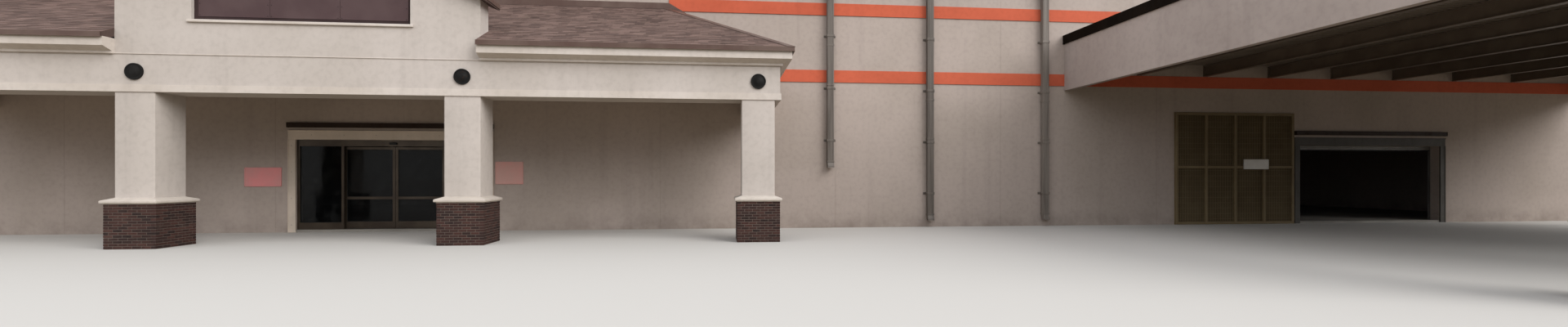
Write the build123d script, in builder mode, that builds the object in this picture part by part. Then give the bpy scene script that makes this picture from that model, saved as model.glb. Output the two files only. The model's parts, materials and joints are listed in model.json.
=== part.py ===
import os
from math import radians, tan

from build123d import *

# A large garden center store, as a 1:2 scale model in millimetres.
# +X runs right along the front, -Y points out of the front and +Z is up.
# The origin is on the ground in the middle of the entrance, on the centre plane of the front wall.

# Main block
wall_thickness = 150
wall_height = 4600
building_left = 7250
building_right = 22500
building_depth = 9000
floor_thickness = 40
deck_top = 4200
deck_thickness = 150
coping_height = 60
coping_overhang = 25
band_thickness = 15
band_height = 210
lower_band_bottom = 2520
upper_band_bottom = 3680

# Entrance opening and its sliding doors
entrance_half = 1450
opening_height = 1475
surround_width = 110
surround_height = 150
surround_thickness = 20
rail_gap = 40
rail_height = 80
rail_projection = 60
frame_bar = 40
frame_depth = 45
frame_setback = 25
sidelight_width = 700
kick_rail = 110
transom_height = 100
glass_thickness = 8
leaf_thickness = 30
leaf_overlap = 30
leaf_gap = 6
leaf_floor_gap = 8
leaf_head_gap = 10
leaf_side_gap = 12
mid_rail_height = 520
track_width = 20
track_thickness = 12
track_rise = 25
carrier_length = 70
carrier_plate = 10
carrier_clearance = 6
roller_height = 20
seat_clearance = 0.3

# Side opening with its rolled up shutter
shutter_centre = 17650
shutter_half = 1500
guide_width = 60
guide_depth = 50
guide_slot_depth = 40
guide_slot_clearance = 4
bracket_thickness = 12
shutter_coil_radius = 150
apron_thickness = 16
apron_drop = 90

# Square columns with brick bases, shared by the portico and the drive-through canopy
column_side = 450
base_side = 585
base_height = 550
cap_side = 640
cap_height = 80

# Portico in front of the entrance
column_bay = 3850
portico_reach = 2150
beam_bottom = 1935
beam_height = 465
beam_end_reach = 75
trim_height = 90
trim_thickness = 15
cornice_height = 185
cornice_projection = 150
cornice_foot = 35
cornice_foot_height = 30
cornice_slope_height = 45
cornice_seat = 200
ceiling_height = 2300
ceiling_thickness = 40
eave_overhang = 25
eave_edge = 45
roof_pitch = 25
roof_thickness = 100
hip_run = 1850
flashing_height = 100
flashing_thickness = 15
medallion_diameter = 205
medallion_thickness = 20
medallion_height = 2185

# Gabled tower over the middle bay
tower_shoulder = 3195
tower_pitch = 22.5
gable_thickness = 275
gable_overhang = 110
gable_roof_thickness = 80
panel_width = 2575
panel_bottom = 2850
panel_height = 560
panel_recess = 60
panel_thickness = 20
sill_height = 40
sill_projection = 30

# Drive-through canopy
canopy_left = 11450
canopy_right = 22250
canopy_reach = 7250
canopy_bottom = 2440
fascia_height = 835
fascia_thickness = 100
canopy_coping_height = 160
canopy_coping_overhang = 30
girder_height = 300
girder_width = 150
girder_flange = 16
girder_web = 12
joist_height = 200
joist_width = 100
joist_flange = 10
joist_web = 8
joist_count = 9
canopy_deck_thickness = 60
canopy_column_inset = 300
canopy_column_setback = 75

# Pieces fixed on the front wall
downspout_places = (7150, 8925, 11050)
downspout_feet = (1040, 120, 120)
downspout_width = 120
downspout_depth = 90
downspout_standoff = 25
head_bottom = 4130
head_height = 260
head_width = 260
head_depth = 150
strap_height = 40
strap_spacing = 900
screen_gap = 40
screen_length = 2400
screen_height = 2070
screen_depth = 50
screen_bar = 50
screen_sheet = 10
screen_bays = 4
board_thickness = 15
left_board_gap = 100
left_board_width = 540
left_board_bottom = 730
left_board_height = 300
right_board_gap = 30
right_board_width = 440
right_board_bottom = 760
right_board_height = 370
screen_board_inset = 545
screen_board_width = 500
screen_board_bottom = 1022
screen_board_height = 184

# Planes and places that follow from the sizes
wall_front = -wall_thickness / 2
wall_back = wall_thickness / 2
rear_face = wall_front + building_depth
portico_front = wall_front - portico_reach
column_line = portico_front + column_side / 2
beam_top = beam_bottom + beam_height
cornice_top = beam_top + cornice_height
tower_half = column_bay / 2 + column_side / 2
portico_end = 1.5 * column_bay + column_side / 2 + beam_end_reach
eave_front = portico_front - cornice_projection - eave_overhang
eave_end = portico_end + cornice_projection + eave_overhang
roof_rise = (wall_front - eave_front) * tan(radians(roof_pitch))
ridge_half = eave_end - hip_run
gable_back = portico_front + gable_thickness
tower_slope = tan(radians(tower_pitch))
canopy_front = wall_front - canopy_reach
canopy_column_line = canopy_front + canopy_column_setback + column_side / 2
joist_bottom = canopy_bottom + girder_height
canopy_deck_bottom = joist_bottom + joist_height
fascia_top = canopy_bottom + fascia_height
head_line = opening_height - transom_height
surround_half = entrance_half + surround_width
screen_right = shutter_centre - shutter_half - surround_width - screen_gap


def block(x_from, x_to, y_from, y_to, z_from, z_to):
    """A plain rectangular piece between its limits."""
    with BuildPart() as piece:
        with BuildSketch(Plane.XY.offset(z_from)):
            with Locations(((x_from + x_to) / 2, (y_from + y_to) / 2)):
                Rectangle(x_to - x_from, y_to - y_from)
        extrude(amount=z_to - z_from)
    return piece.part


def save(piece, label):
    """Name a finished piece and write it."""
    piece.label = label
    export_step(piece, f"parts/{label}.step")


def floor_slab():
    """Thin floor between the walls, with a tongue out to the front in each opening."""
    left = -building_left + wall_thickness
    right = building_right - wall_thickness
    with BuildPart() as slab:
        with BuildSketch():
            with Locations(((left + right) / 2, (wall_back + rear_face - wall_thickness) / 2)):
                Rectangle(right - left, rear_face - wall_thickness - wall_back)
            Rectangle(2 * entrance_half, wall_thickness)
            with Locations((shutter_centre, 0)):
                Rectangle(2 * shutter_half, wall_thickness)
        extrude(amount=floor_thickness)
    return slab.part


def front_wall_pieces():
    """The front wall: three full height stretches and one over each opening."""
    shutter_left = shutter_centre - shutter_half
    shutter_right = shutter_centre + shutter_half
    spans = {
        "front_wall_left": (-building_left, -entrance_half, 0),
        "wall_over_entrance": (-entrance_half, entrance_half, opening_height),
        "front_wall_middle": (entrance_half, shutter_left, 0),
        "wall_over_shutter": (shutter_left, shutter_right, opening_height),
        "front_wall_right": (shutter_right, building_right, 0),
    }
    for label, (x_from, x_to, z_from) in spans.items():
        save(block(x_from, x_to, wall_front, wall_back, z_from, wall_height), label)


def side_and_rear_walls():
    """Left and right walls between the front wall and the rear wall."""
    inner_rear = rear_face - wall_thickness
    left_inner = -building_left + wall_thickness
    right_inner = building_right - wall_thickness
    save(block(-building_left, left_inner, wall_back, inner_rear, 0, wall_height), "left_wall")
    save(block(right_inner, building_right, wall_back, inner_rear, 0, wall_height), "right_wall")
    save(block(-building_left, building_right, inner_rear, rear_face, 0, wall_height), "rear_wall")


def roof_deck():
    """Flat roof between the parapets."""
    left = -building_left + wall_thickness
    right = building_right - wall_thickness
    return block(left, right, wall_back, rear_face - wall_thickness, deck_top - deck_thickness, deck_top)


def plan_ring(bottom, height, outside, width):
    """A ring round the main block, from outside its faces inwards by its width."""
    length = building_left + building_right + 2 * outside
    depth = building_depth + 2 * outside
    centre = ((building_right - building_left) / 2, wall_front + building_depth / 2)
    with BuildPart() as ring:
        with BuildSketch(Plane.XY.offset(bottom)):
            with Locations(centre):
                Rectangle(length, depth)
                Rectangle(length - 2 * width, depth - 2 * width, mode=Mode.SUBTRACT)
        extrude(amount=height)
    return ring.part


def wall_coping():
    """Metal cap on the parapet."""
    return plan_ring(wall_height, coping_height, coping_overhang, wall_thickness + 2 * coping_overhang)


def lower_band():
    """Lower painted band, open where the portico stands and where the canopy's fascia meets the wall."""
    ring = plan_ring(lower_band_bottom, band_height, band_thickness, band_thickness)
    fascia = canopy_frame(canopy_bottom, fascia_height, 0, fascia_thickness)
    with BuildPart() as band:
        add(ring)
        add(fascia, mode=Mode.SUBTRACT)
        with BuildSketch(Plane.XY.offset(lower_band_bottom)):
            with Locations((0, wall_front - band_thickness / 2)):
                Rectangle(2 * eave_end, band_thickness)
        extrude(amount=band_height, mode=Mode.SUBTRACT)
    return band.part


def upper_band():
    """Upper painted band, open over the portico's roof and its flashing."""
    ring = plan_ring(upper_band_bottom, band_height, band_thickness, band_thickness)
    with BuildPart() as band:
        add(ring)
        with BuildSketch(Plane.XZ.offset(-wall_front)):
            with BuildLine():
                Polyline(
                    *roof_line(flashing_height),
                    (eave_end, lower_band_bottom),
                    (-eave_end, lower_band_bottom),
                    close=True,
                )
            make_face()
            with Locations((0, upper_band_bottom + band_height / 2)):
                Rectangle(2 * ridge_half, band_height)
        extrude(amount=band_thickness, mode=Mode.SUBTRACT)
    return band.part


def column_places():
    """Plan centres of the portico's columns and of the canopy's columns."""
    first = canopy_left + canopy_column_inset
    last = canopy_right - canopy_column_inset
    spacing = (last - first) / 3
    portico = [((number - 1.5) * column_bay, column_line) for number in range(4)]
    canopy = [(first + number * spacing, canopy_column_line) for number in range(4)]
    return portico, canopy


def column_stage(side, places, bottom, top):
    """The same square stage of several columns."""
    with BuildPart() as stage:
        with BuildSketch(Plane.XY.offset(bottom)):
            with Locations(*places):
                Rectangle(side, side)
        extrude(amount=top - bottom)
    return stage.part


def column_shafts(places, top):
    """Stucco shafts from the caps up to the beam that they carry."""
    return column_stage(column_side, places, base_height + cap_height, top)


def portico_beams():
    """Deep front beams over the wings and the middle bay, and beams back to the wall."""
    beam_back = portico_front + column_side
    inner_end = portico_end - column_side
    with BuildPart() as wings:
        with BuildSketch(Plane.XY.offset(beam_bottom)):
            for side in (-1, 1):
                with Locations((side * (tower_half + portico_end) / 2, column_line)):
                    Rectangle(portico_end - tower_half, column_side)
        extrude(amount=beam_height)
    save(wings.part, "wing_beams")
    save(block(-tower_half, tower_half, portico_front, beam_back, beam_bottom, beam_top), "tower_beam")
    with BuildPart() as ends:
        with BuildSketch(Plane.XY.offset(beam_bottom)):
            for side in (-1, 1):
                with Locations((side * (inner_end + portico_end) / 2, (beam_back + wall_front) / 2)):
                    Rectangle(column_side, wall_front - beam_back)
        extrude(amount=beam_height)
    save(ends.part, "end_beams")


def beam_trim():
    """Pale strip along the foot of the beams, round the front and both ends."""
    outer = portico_end + trim_thickness
    with BuildPart() as trim:
        with BuildSketch(Plane.XY.offset(beam_bottom)):
            with Locations((0, (portico_front - trim_thickness + wall_front) / 2)):
                Rectangle(2 * outer, portico_reach + trim_thickness)
            with Locations((0, (portico_front + wall_front) / 2)):
                Rectangle(2 * portico_end, portico_reach, mode=Mode.SUBTRACT)
        extrude(amount=trim_height)
    return trim.part


def cornices():
    """Moulded cornice on each wing, mitred round its outer corner and back to the wall."""
    with BuildPart() as pair:
        with BuildLine(Plane.XY.offset(beam_top)) as route:
            Polyline(
                (tower_half, portico_front),
                (portico_end, portico_front),
                (portico_end, wall_front),
            )
        with BuildSketch(Plane((tower_half, portico_front, beam_top), x_dir=(0, -1, 0), z_dir=(1, 0, 0))):
            with BuildLine():
                Polyline(
                    (-cornice_seat, 0),
                    (cornice_foot, 0),
                    (cornice_foot, -cornice_foot_height),
                    (cornice_projection, -cornice_foot_height - cornice_slope_height),
                    (cornice_projection, -cornice_height),
                    (-cornice_seat, -cornice_height),
                    close=True,
                )
            make_face()
        sweep(path=route.wires()[0], transition=Transition.RIGHT)
        mirror(about=Plane.YZ)
    return pair.part


def roof_mass(lowered):
    """The right wing's hipped lean-to as a full mass, its slopes lowered by a vertical distance."""
    top = cornice_top + eave_edge - lowered
    run = wall_front - eave_front
    front_slope = Plane((0, eave_front, top), x_dir=(1, 0, 0), z_dir=(0, -roof_rise, run))
    hip_slope = Plane((eave_end, 0, top), x_dir=(0, 1, 0), z_dir=(roof_rise, 0, hip_run))
    with BuildPart() as mass:
        with BuildSketch(Plane.XY.offset(cornice_top)):
            with Locations((eave_end / 2, (eave_front + wall_front) / 2)):
                Rectangle(eave_end, run)
        extrude(amount=eave_edge + roof_rise)
        split(bisect_by=front_slope, keep=Keep.BOTTOM)
        split(bisect_by=hip_slope, keep=Keep.BOTTOM)
    return mass.part


def roof_line(raised):
    """The portico roof's top line on the wall, from left to right, raised by a height."""
    eave_height = cornice_top + eave_edge + raised
    ridge_height = eave_height + roof_rise
    return [
        (-eave_end, eave_height),
        (-ridge_half, ridge_height),
        (ridge_half, ridge_height),
        (eave_end, eave_height),
    ]


def roof_flashing():
    """Strip on the wall that covers the top and the sloping ends of the portico's roof."""
    with BuildPart() as strip:
        with BuildSketch(Plane.XZ.offset(-wall_front)):
            with BuildLine():
                Polyline(*roof_line(flashing_height), *reversed(roof_line(0)), close=True)
            make_face()
        extrude(amount=flashing_thickness)
    return strip.part


def gable_roof():
    """Chevron slab on the tower's wall, with an overhang on every side."""
    top = tower_shoulder + gable_roof_thickness
    reach = tower_half + gable_overhang
    drop = gable_overhang * tower_slope
    front = portico_front - gable_overhang
    with BuildPart() as roof:
        with BuildSketch(Plane.XZ.offset(-front)):
            with BuildLine():
                Polyline(
                    (-reach, tower_shoulder - drop),
                    (0, tower_shoulder + tower_half * tower_slope),
                    (reach, tower_shoulder - drop),
                    (reach, top - drop),
                    (0, top + tower_half * tower_slope),
                    (-reach, top - drop),
                    close=True,
                )
            make_face()
        extrude(amount=front - gable_back - gable_overhang)
    return roof.part


def wing_roof():
    """Right half of the portico's roof: hipped at the outer end and cut round the tower's wall."""
    with BuildPart() as roof:
        add(roof_mass(0))
        add(roof_mass(roof_thickness), mode=Mode.SUBTRACT)
        with BuildSketch(Plane.XY.offset(cornice_top)):
            with Locations((tower_half / 2, (eave_front + gable_back) / 2)):
                Rectangle(tower_half, gable_back - eave_front)
        extrude(amount=eave_edge + roof_rise, mode=Mode.SUBTRACT)
    return roof.part


def mirrored(piece):
    """The same piece on the other side of the entrance."""
    with BuildPart() as copy:
        add(piece)
        mirror(about=Plane.YZ, mode=Mode.REPLACE)
    return copy.part


def portico_ceiling():
    """Flat soffit between the beams."""
    half = portico_end - column_side
    back = portico_front + column_side
    return block(-half, half, back, wall_front, ceiling_height, ceiling_height + ceiling_thickness)


def gable_wall():
    """Tower's front wall with the recess for the blank panel."""
    with BuildPart() as wall:
        with BuildSketch(Plane.XZ.offset(-portico_front)):
            with BuildLine():
                Polyline(
                    (-tower_half, beam_top),
                    (tower_half, beam_top),
                    (tower_half, tower_shoulder),
                    (0, tower_shoulder + tower_half * tower_slope),
                    (-tower_half, tower_shoulder),
                    close=True,
                )
            make_face()
        extrude(amount=-gable_thickness)
        with BuildSketch(Plane.XZ.offset(-portico_front)):
            with Locations((0, panel_bottom + panel_height / 2)):
                Rectangle(panel_width, panel_height)
        extrude(amount=-panel_recess, mode=Mode.SUBTRACT)
    return wall.part


def gable_panel():
    """Blank dark panel at the back of the recess."""
    back = portico_front + panel_recess
    half = panel_width / 2
    return block(-half, half, back - panel_thickness, back, panel_bottom, panel_bottom + panel_height)


def gable_sill():
    """Pale sill under the panel."""
    half = panel_width / 2 + sill_height
    front = portico_front - sill_projection
    return block(-half, half, front, portico_front, panel_bottom - sill_height, panel_bottom)


def medallions():
    """Round plates on the beams, one on the axis of each portico column."""
    portico, _ = column_places()
    with BuildPart() as plates:
        with BuildSketch(Plane.XZ.offset(-portico_front)):
            with Locations(*[(place[0], medallion_height) for place in portico]):
                Circle(medallion_diameter / 2)
        extrude(amount=medallion_thickness)
    return plates.part


def opening_surrounds():
    """Pale frame on the wall beside and over each opening."""
    with BuildPart() as surrounds:
        with BuildSketch(Plane.XZ.offset(-wall_front)):
            for centre, half in ((0, entrance_half), (shutter_centre, shutter_half)):
                outline_height = opening_height + surround_height
                with Locations((centre, outline_height / 2)):
                    Rectangle(2 * (half + surround_width), outline_height)
                with Locations((centre, opening_height / 2)):
                    Rectangle(2 * half, opening_height, mode=Mode.SUBTRACT)
        extrude(amount=surround_thickness)
    return surrounds.part


def header_rails():
    """Dark rail on the wall above each surround."""
    bottom = opening_height + surround_height + rail_gap
    with BuildPart() as rails:
        with BuildSketch(Plane.XZ.offset(-wall_front)):
            for centre, half in ((0, entrance_half), (shutter_centre, shutter_half)):
                with Locations((centre, bottom + rail_height / 2)):
                    Rectangle(2 * (half + surround_width), rail_height)
        extrude(amount=rail_projection)
    return rails.part


# Depths of the doors, from the front of the fixed frame inwards
frame_front = wall_front + frame_setback
frame_back = frame_front + frame_depth
leaf_front = frame_back + leaf_side_gap
leaf_back = leaf_front + leaf_thickness
mullion_inner = entrance_half - sidelight_width
leaf_outer = mullion_inner + leaf_overlap
leaf_inner = leaf_gap / 2
leaf_bottom = floor_thickness + leaf_floor_gap
leaf_top = head_line - leaf_head_gap
track_bottom = head_line + track_rise
track_top = track_bottom + track_thickness


def door_frame():
    """Fixed frame: head transom with its track, jambs, mullions and sidelight rails."""
    with BuildPart() as frame:
        with BuildSketch(Plane.XZ.offset(-frame_front)):
            with Locations((0, (floor_thickness + opening_height) / 2)):
                Rectangle(2 * entrance_half, opening_height - floor_thickness)
            with Locations((0, (floor_thickness + head_line) / 2)):
                Rectangle(2 * mullion_inner, head_line - floor_thickness, mode=Mode.SUBTRACT)
            for side in (-1, 1):
                bottom = floor_thickness + kick_rail
                width = sidelight_width - 2 * frame_bar
                place = (side * (entrance_half + mullion_inner) / 2, (bottom + head_line) / 2)
                with Locations(place):
                    Rectangle(width, head_line - bottom, mode=Mode.SUBTRACT)
        extrude(amount=-frame_depth)
        with BuildSketch(Plane.XY.offset(track_bottom)):
            with Locations((0, frame_back + track_width / 2)):
                Rectangle(2 * entrance_half, track_width)
        extrude(amount=track_thickness)
    return frame.part


def fixed_glass():
    """Glass of the two sidelights."""
    bottom = floor_thickness + kick_rail
    middle = (frame_front + frame_back) / 2
    with BuildPart() as panes:
        with BuildSketch(Plane.XZ.offset(-middle - glass_thickness / 2 + glass_thickness)):
            for side in (-1, 1):
                place = (side * (entrance_half + mullion_inner) / 2, (bottom + head_line) / 2)
                with Locations(place):
                    Rectangle(sidelight_width - 2 * frame_bar, head_line - bottom)
        extrude(amount=-glass_thickness)
    return panes.part


def leaf_frame():
    """Right leaf: stiles and rails, with two carriers whose rollers run on the track."""
    width = leaf_outer - leaf_inner
    centre = (leaf_outer + leaf_inner) / 2
    plate_front = frame_back + track_width + carrier_clearance
    carriers = [(leaf_inner + carrier_length, 0), (leaf_outer - carrier_length, 0)]
    roller_bottom = track_top + seat_clearance
    roller_front = frame_back + carrier_clearance
    with BuildPart() as leaf:
        with BuildSketch(Plane.XZ.offset(-leaf_front)):
            with Locations((centre, (leaf_bottom + leaf_top) / 2)):
                Rectangle(width, leaf_top - leaf_bottom)
            for bottom, top in leaf_panes():
                with Locations((centre, (bottom + top) / 2)):
                    Rectangle(width - 2 * frame_bar, top - bottom, mode=Mode.SUBTRACT)
        extrude(amount=-leaf_thickness)
        with BuildSketch(Plane.XY.offset(leaf_top)):
            with Locations(*[(place[0], plate_front + carrier_plate / 2) for place in carriers]):
                Rectangle(carrier_length, carrier_plate)
        extrude(amount=roller_bottom + roller_height - leaf_top)
        with BuildSketch(Plane.XY.offset(roller_bottom)):
            with Locations(*[(place[0], (roller_front + plate_front) / 2) for place in carriers]):
                Rectangle(carrier_length, plate_front - roller_front)
        extrude(amount=roller_height)
    return leaf.part


def leaf_panes():
    """Bottom and top of each of a leaf's two glass panes."""
    lower = (leaf_bottom + kick_rail, mid_rail_height)
    upper = (mid_rail_height + frame_bar, leaf_top - frame_bar)
    return lower, upper


def leaf_glass():
    """Right leaf's two panes."""
    width = leaf_outer - leaf_inner - 2 * frame_bar
    centre = (leaf_outer + leaf_inner) / 2
    front = (leaf_front + leaf_back) / 2 - glass_thickness / 2
    with BuildPart() as panes:
        with BuildSketch(Plane.XZ.offset(-front)):
            for bottom, top in leaf_panes():
                with Locations((centre, (bottom + top) / 2)):
                    Rectangle(width, top - bottom)
        extrude(amount=-glass_thickness)
    return panes.part


# Places of the rolled up shutter, behind the wall's inner face
curtain_line = wall_back + guide_depth / 2
coil_line = curtain_line + shutter_coil_radius - apron_thickness / 2
coil_height = opening_height + shutter_coil_radius


def shutter_guides():
    """Slotted guides on the wall's inner face, each with the end bracket of the coil on top."""
    with BuildPart() as guides:
        for side in (-1, 1):
            jamb = shutter_centre + side * shutter_half
            with BuildSketch(Plane.XY.offset(floor_thickness)):
                with Locations((jamb + side * guide_width / 2, curtain_line)):
                    Rectangle(guide_width, guide_depth)
                with Locations((jamb + side * guide_slot_depth / 2, curtain_line)):
                    slot_width = apron_thickness + 2 * guide_slot_clearance
                    Rectangle(guide_slot_depth, slot_width, mode=Mode.SUBTRACT)
            extrude(amount=opening_height - floor_thickness)
            bracket = jamb + side * (guide_width - bracket_thickness / 2)
            bracket_depth = coil_line + shutter_coil_radius - wall_back
            with BuildSketch(Plane.XY.offset(opening_height)):
                with Locations((bracket, wall_back + bracket_depth / 2)):
                    Rectangle(bracket_thickness, bracket_depth)
            extrude(amount=2 * shutter_coil_radius)
    return guides.part


def shutter_roll():
    """Rolled up curtain between its brackets, with its last slats hanging in the guides."""
    coil_half = shutter_half + guide_width - bracket_thickness
    apron_half = shutter_half + guide_slot_depth - guide_slot_clearance
    with BuildPart() as roll:
        with BuildSketch(Plane.YZ.offset(shutter_centre - coil_half)):
            with Locations((coil_line, coil_height)):
                Circle(shutter_coil_radius)
        extrude(amount=2 * coil_half)
        with BuildSketch(Plane.YZ.offset(shutter_centre - apron_half)):
            with Locations((curtain_line, coil_height - (shutter_coil_radius + apron_drop) / 2)):
                Rectangle(apron_thickness, shutter_coil_radius + apron_drop)
        extrude(amount=2 * apron_half)
    return roll.part


def flanged_section(width, height, flange, web):
    """Outline of an I-shaped beam about the middle of its foot."""
    with BuildSketch(mode=Mode.PRIVATE) as section:
        with Locations((0, flange / 2), (0, height - flange / 2)):
            Rectangle(width, flange)
        with Locations((0, height / 2)):
            Rectangle(web, height)
    return section.sketch


def canopy_girder():
    """I-shaped girder along the line of the canopy's columns."""
    left = canopy_left + fascia_thickness
    right = canopy_right - fascia_thickness
    section = flanged_section(girder_width, girder_height, girder_flange, girder_web)
    with BuildPart() as girder:
        with BuildSketch(Plane((left, canopy_column_line, canopy_bottom), x_dir=(0, 1, 0), z_dir=(1, 0, 0))):
            add(section)
        extrude(amount=right - left)
    return girder.part


def canopy_joists():
    """I-shaped joists from the wall out to the front fascia, lying on the girder."""
    front = canopy_front + fascia_thickness
    first = canopy_left + fascia_thickness + joist_width / 2
    last = canopy_right - fascia_thickness - joist_width / 2
    spacing = (last - first) / (joist_count - 1)
    section = flanged_section(joist_width, joist_height, joist_flange, joist_web)
    with BuildPart() as joists:
        with BuildSketch(Plane((first, front, joist_bottom), x_dir=(-1, 0, 0), z_dir=(0, 1, 0))):
            with Locations(*[(-number * spacing, 0) for number in range(joist_count)]):
                add(section)
        extrude(amount=wall_front - front)
    return joists.part


def canopy_deck():
    """Deck on the joists, inside the fascia."""
    left = canopy_left + fascia_thickness
    right = canopy_right - fascia_thickness
    front = canopy_front + fascia_thickness
    top = canopy_deck_bottom + canopy_deck_thickness
    return block(left, right, front, wall_front, canopy_deck_bottom, top)


def canopy_frame(bottom, height, outside, width):
    """Three sided frame round the canopy's edge, from outside it inwards by its width."""
    outer_left = canopy_left - outside
    outer_right = canopy_right + outside
    outer_front = canopy_front - outside
    with BuildPart() as frame:
        with BuildSketch(Plane.XY.offset(bottom)):
            with Locations(((outer_left + outer_right) / 2, (outer_front + wall_front) / 2)):
                Rectangle(outer_right - outer_left, wall_front - outer_front)
            with Locations(((outer_left + outer_right) / 2, (outer_front + width + wall_front) / 2)):
                inner_length = outer_right - outer_left - 2 * width
                Rectangle(inner_length, wall_front - outer_front - width, mode=Mode.SUBTRACT)
        extrude(amount=height)
    return frame.part


def downspouts():
    """Square downspouts with their rain heads and the straps that hold them to the wall."""
    pipe_back = wall_front - downspout_standoff
    pipe_middle = pipe_back - downspout_depth / 2
    with BuildPart() as pipes:
        for place, foot in zip(downspout_places, downspout_feet):
            with BuildSketch(Plane.XY.offset(foot)):
                with Locations((place, pipe_middle)):
                    Rectangle(downspout_width, downspout_depth)
            extrude(amount=head_bottom - foot)
            with BuildSketch(Plane.XY.offset(head_bottom)):
                with Locations((place, wall_front - head_depth / 2)):
                    Rectangle(head_width, head_depth)
            extrude(amount=head_height)
            strap_total = int((head_bottom - foot) / strap_spacing)
            for number in range(strap_total):
                strap_bottom = foot + strap_spacing / 2 + number * strap_spacing
                with BuildSketch(Plane.XY.offset(strap_bottom)):
                    with Locations((place, (wall_front + pipe_back) / 2)):
                        Rectangle(downspout_width, downspout_standoff)
                extrude(amount=strap_height)
    return pipes.part


def garden_screen():
    """Dark screen panel against the wall: a sheet of mesh in a frame of bars."""
    middle = screen_right - screen_length / 2
    bay = (screen_length - screen_bar) / screen_bays
    with BuildPart() as screen:
        with BuildSketch(Plane.XZ.offset(-wall_front)):
            with Locations((middle, screen_height / 2)):
                Rectangle(screen_length, screen_height)
                with GridLocations(bay, 1, screen_bays, 1):
                    Rectangle(bay - screen_bar, screen_height - 2 * screen_bar, mode=Mode.SUBTRACT)
        extrude(amount=screen_depth)
        with BuildSketch(Plane.XZ.offset(-wall_front)):
            with Locations((middle, screen_height / 2)):
                Rectangle(screen_length - screen_bar, screen_height - screen_bar)
        extrude(amount=screen_sheet)
    return screen.part


def board(left, width, bottom, height, back):
    """A blank notice board standing proud of the face that carries it."""
    return block(left, left + width, back - board_thickness, back, bottom, bottom + height)


def wall_boards():
    """The two boards beside the entrance."""
    far_left = -surround_half - left_board_gap - left_board_width
    near_right = surround_half + right_board_gap
    with BuildPart() as boards:
        add(board(far_left, left_board_width, left_board_bottom, left_board_height, wall_front))
        add(board(near_right, right_board_width, right_board_bottom, right_board_height, wall_front))
    return boards.part


def screen_board():
    """The small board hung on the garden screen."""
    left = screen_right - screen_board_inset - screen_board_width
    back = wall_front - screen_depth
    return board(left, screen_board_width, screen_board_bottom, screen_board_height, back)


def main():
    os.makedirs("parts", exist_ok=True)
    save(floor_slab(), "floor_slab")
    front_wall_pieces()
    side_and_rear_walls()
    save(roof_deck(), "roof_deck")
    save(wall_coping(), "wall_coping")
    save(lower_band(), "lower_band")
    save(upper_band(), "upper_band")

    portico, canopy = column_places()
    save(column_stage(base_side, portico + canopy, 0, base_height), "column_bases")
    save(column_stage(cap_side, portico + canopy, base_height, base_height + cap_height), "column_caps")
    save(column_shafts(portico, beam_bottom), "portico_column_shafts")
    save(column_shafts(canopy, canopy_bottom), "canopy_column_shafts")
    portico_beams()
    save(beam_trim(), "beam_trim")
    save(cornices(), "cornices")
    save(portico_ceiling(), "portico_ceiling")
    save(medallions(), "medallions")
    save(gable_wall(), "gable_wall")
    save(gable_panel(), "gable_panel")
    save(gable_sill(), "gable_sill")
    save(gable_roof(), "gable_roof")
    save(wing_roof(), "right_wing_roof")
    save(mirrored(wing_roof()), "left_wing_roof")
    save(roof_flashing(), "roof_flashing")

    save(opening_surrounds(), "opening_surrounds")
    save(header_rails(), "header_rails")
    save(door_frame(), "door_frame")
    save(fixed_glass(), "fixed_glass")
    save(leaf_frame(), "right_leaf_frame")
    save(leaf_glass(), "right_leaf_glass")
    save(mirrored(leaf_frame()), "left_leaf_frame")
    save(mirrored(leaf_glass()), "left_leaf_glass")
    save(shutter_guides(), "shutter_guides")
    save(shutter_roll(), "shutter_roll")

    save(canopy_girder(), "canopy_girder")
    save(canopy_joists(), "canopy_joists")
    save(canopy_deck(), "canopy_deck")
    save(canopy_frame(canopy_bottom, fascia_height, 0, fascia_thickness), "canopy_fascia")
    coping_width = fascia_thickness + 2 * canopy_coping_overhang
    coping = canopy_frame(fascia_top, canopy_coping_height, canopy_coping_overhang, coping_width)
    save(coping, "canopy_coping")

    save(downspouts(), "downspouts")
    save(garden_screen(), "garden_screen")
    save(wall_boards(), "wall_boards")
    save(screen_board(), "screen_board")


main()
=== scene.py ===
import json
import math
import random

import bmesh
import bpy
from mathutils import Matrix, Vector


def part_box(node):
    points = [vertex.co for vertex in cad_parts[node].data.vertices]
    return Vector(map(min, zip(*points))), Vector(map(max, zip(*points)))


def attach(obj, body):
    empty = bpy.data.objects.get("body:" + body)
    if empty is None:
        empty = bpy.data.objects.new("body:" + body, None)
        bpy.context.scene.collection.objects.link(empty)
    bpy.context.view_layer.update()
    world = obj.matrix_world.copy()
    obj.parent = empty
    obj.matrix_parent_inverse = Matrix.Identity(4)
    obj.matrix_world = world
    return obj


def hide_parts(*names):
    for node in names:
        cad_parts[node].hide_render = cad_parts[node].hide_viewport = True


# Looks of a garden center store at half size: everything is in metres, +X right, -Y out of the front, +Z up.

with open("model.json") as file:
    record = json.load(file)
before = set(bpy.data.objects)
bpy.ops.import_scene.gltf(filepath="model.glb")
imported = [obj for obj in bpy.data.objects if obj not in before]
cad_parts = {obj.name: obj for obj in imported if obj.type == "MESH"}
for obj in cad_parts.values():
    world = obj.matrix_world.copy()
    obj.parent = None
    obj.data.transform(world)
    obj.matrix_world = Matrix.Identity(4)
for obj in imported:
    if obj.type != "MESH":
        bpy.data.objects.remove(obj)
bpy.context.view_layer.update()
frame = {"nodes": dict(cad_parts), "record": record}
nodes = frame["nodes"]
chance = random.Random(7)

ORIGIN = (0, 0, 0)
EVEN = (1, 1, 1)
UP = (0, 0, 1)
DOWN = (0, 0, -1)
FRONT = (0, -1, 0)
BACK = (0, 1, 0)
RIGHT = (1, 0, 0)
LEFT = (-1, 0, 0)

# How near a place has to be to count as the same, how closely a face or a line has to run one way, and the
# widths of eased edges

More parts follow.
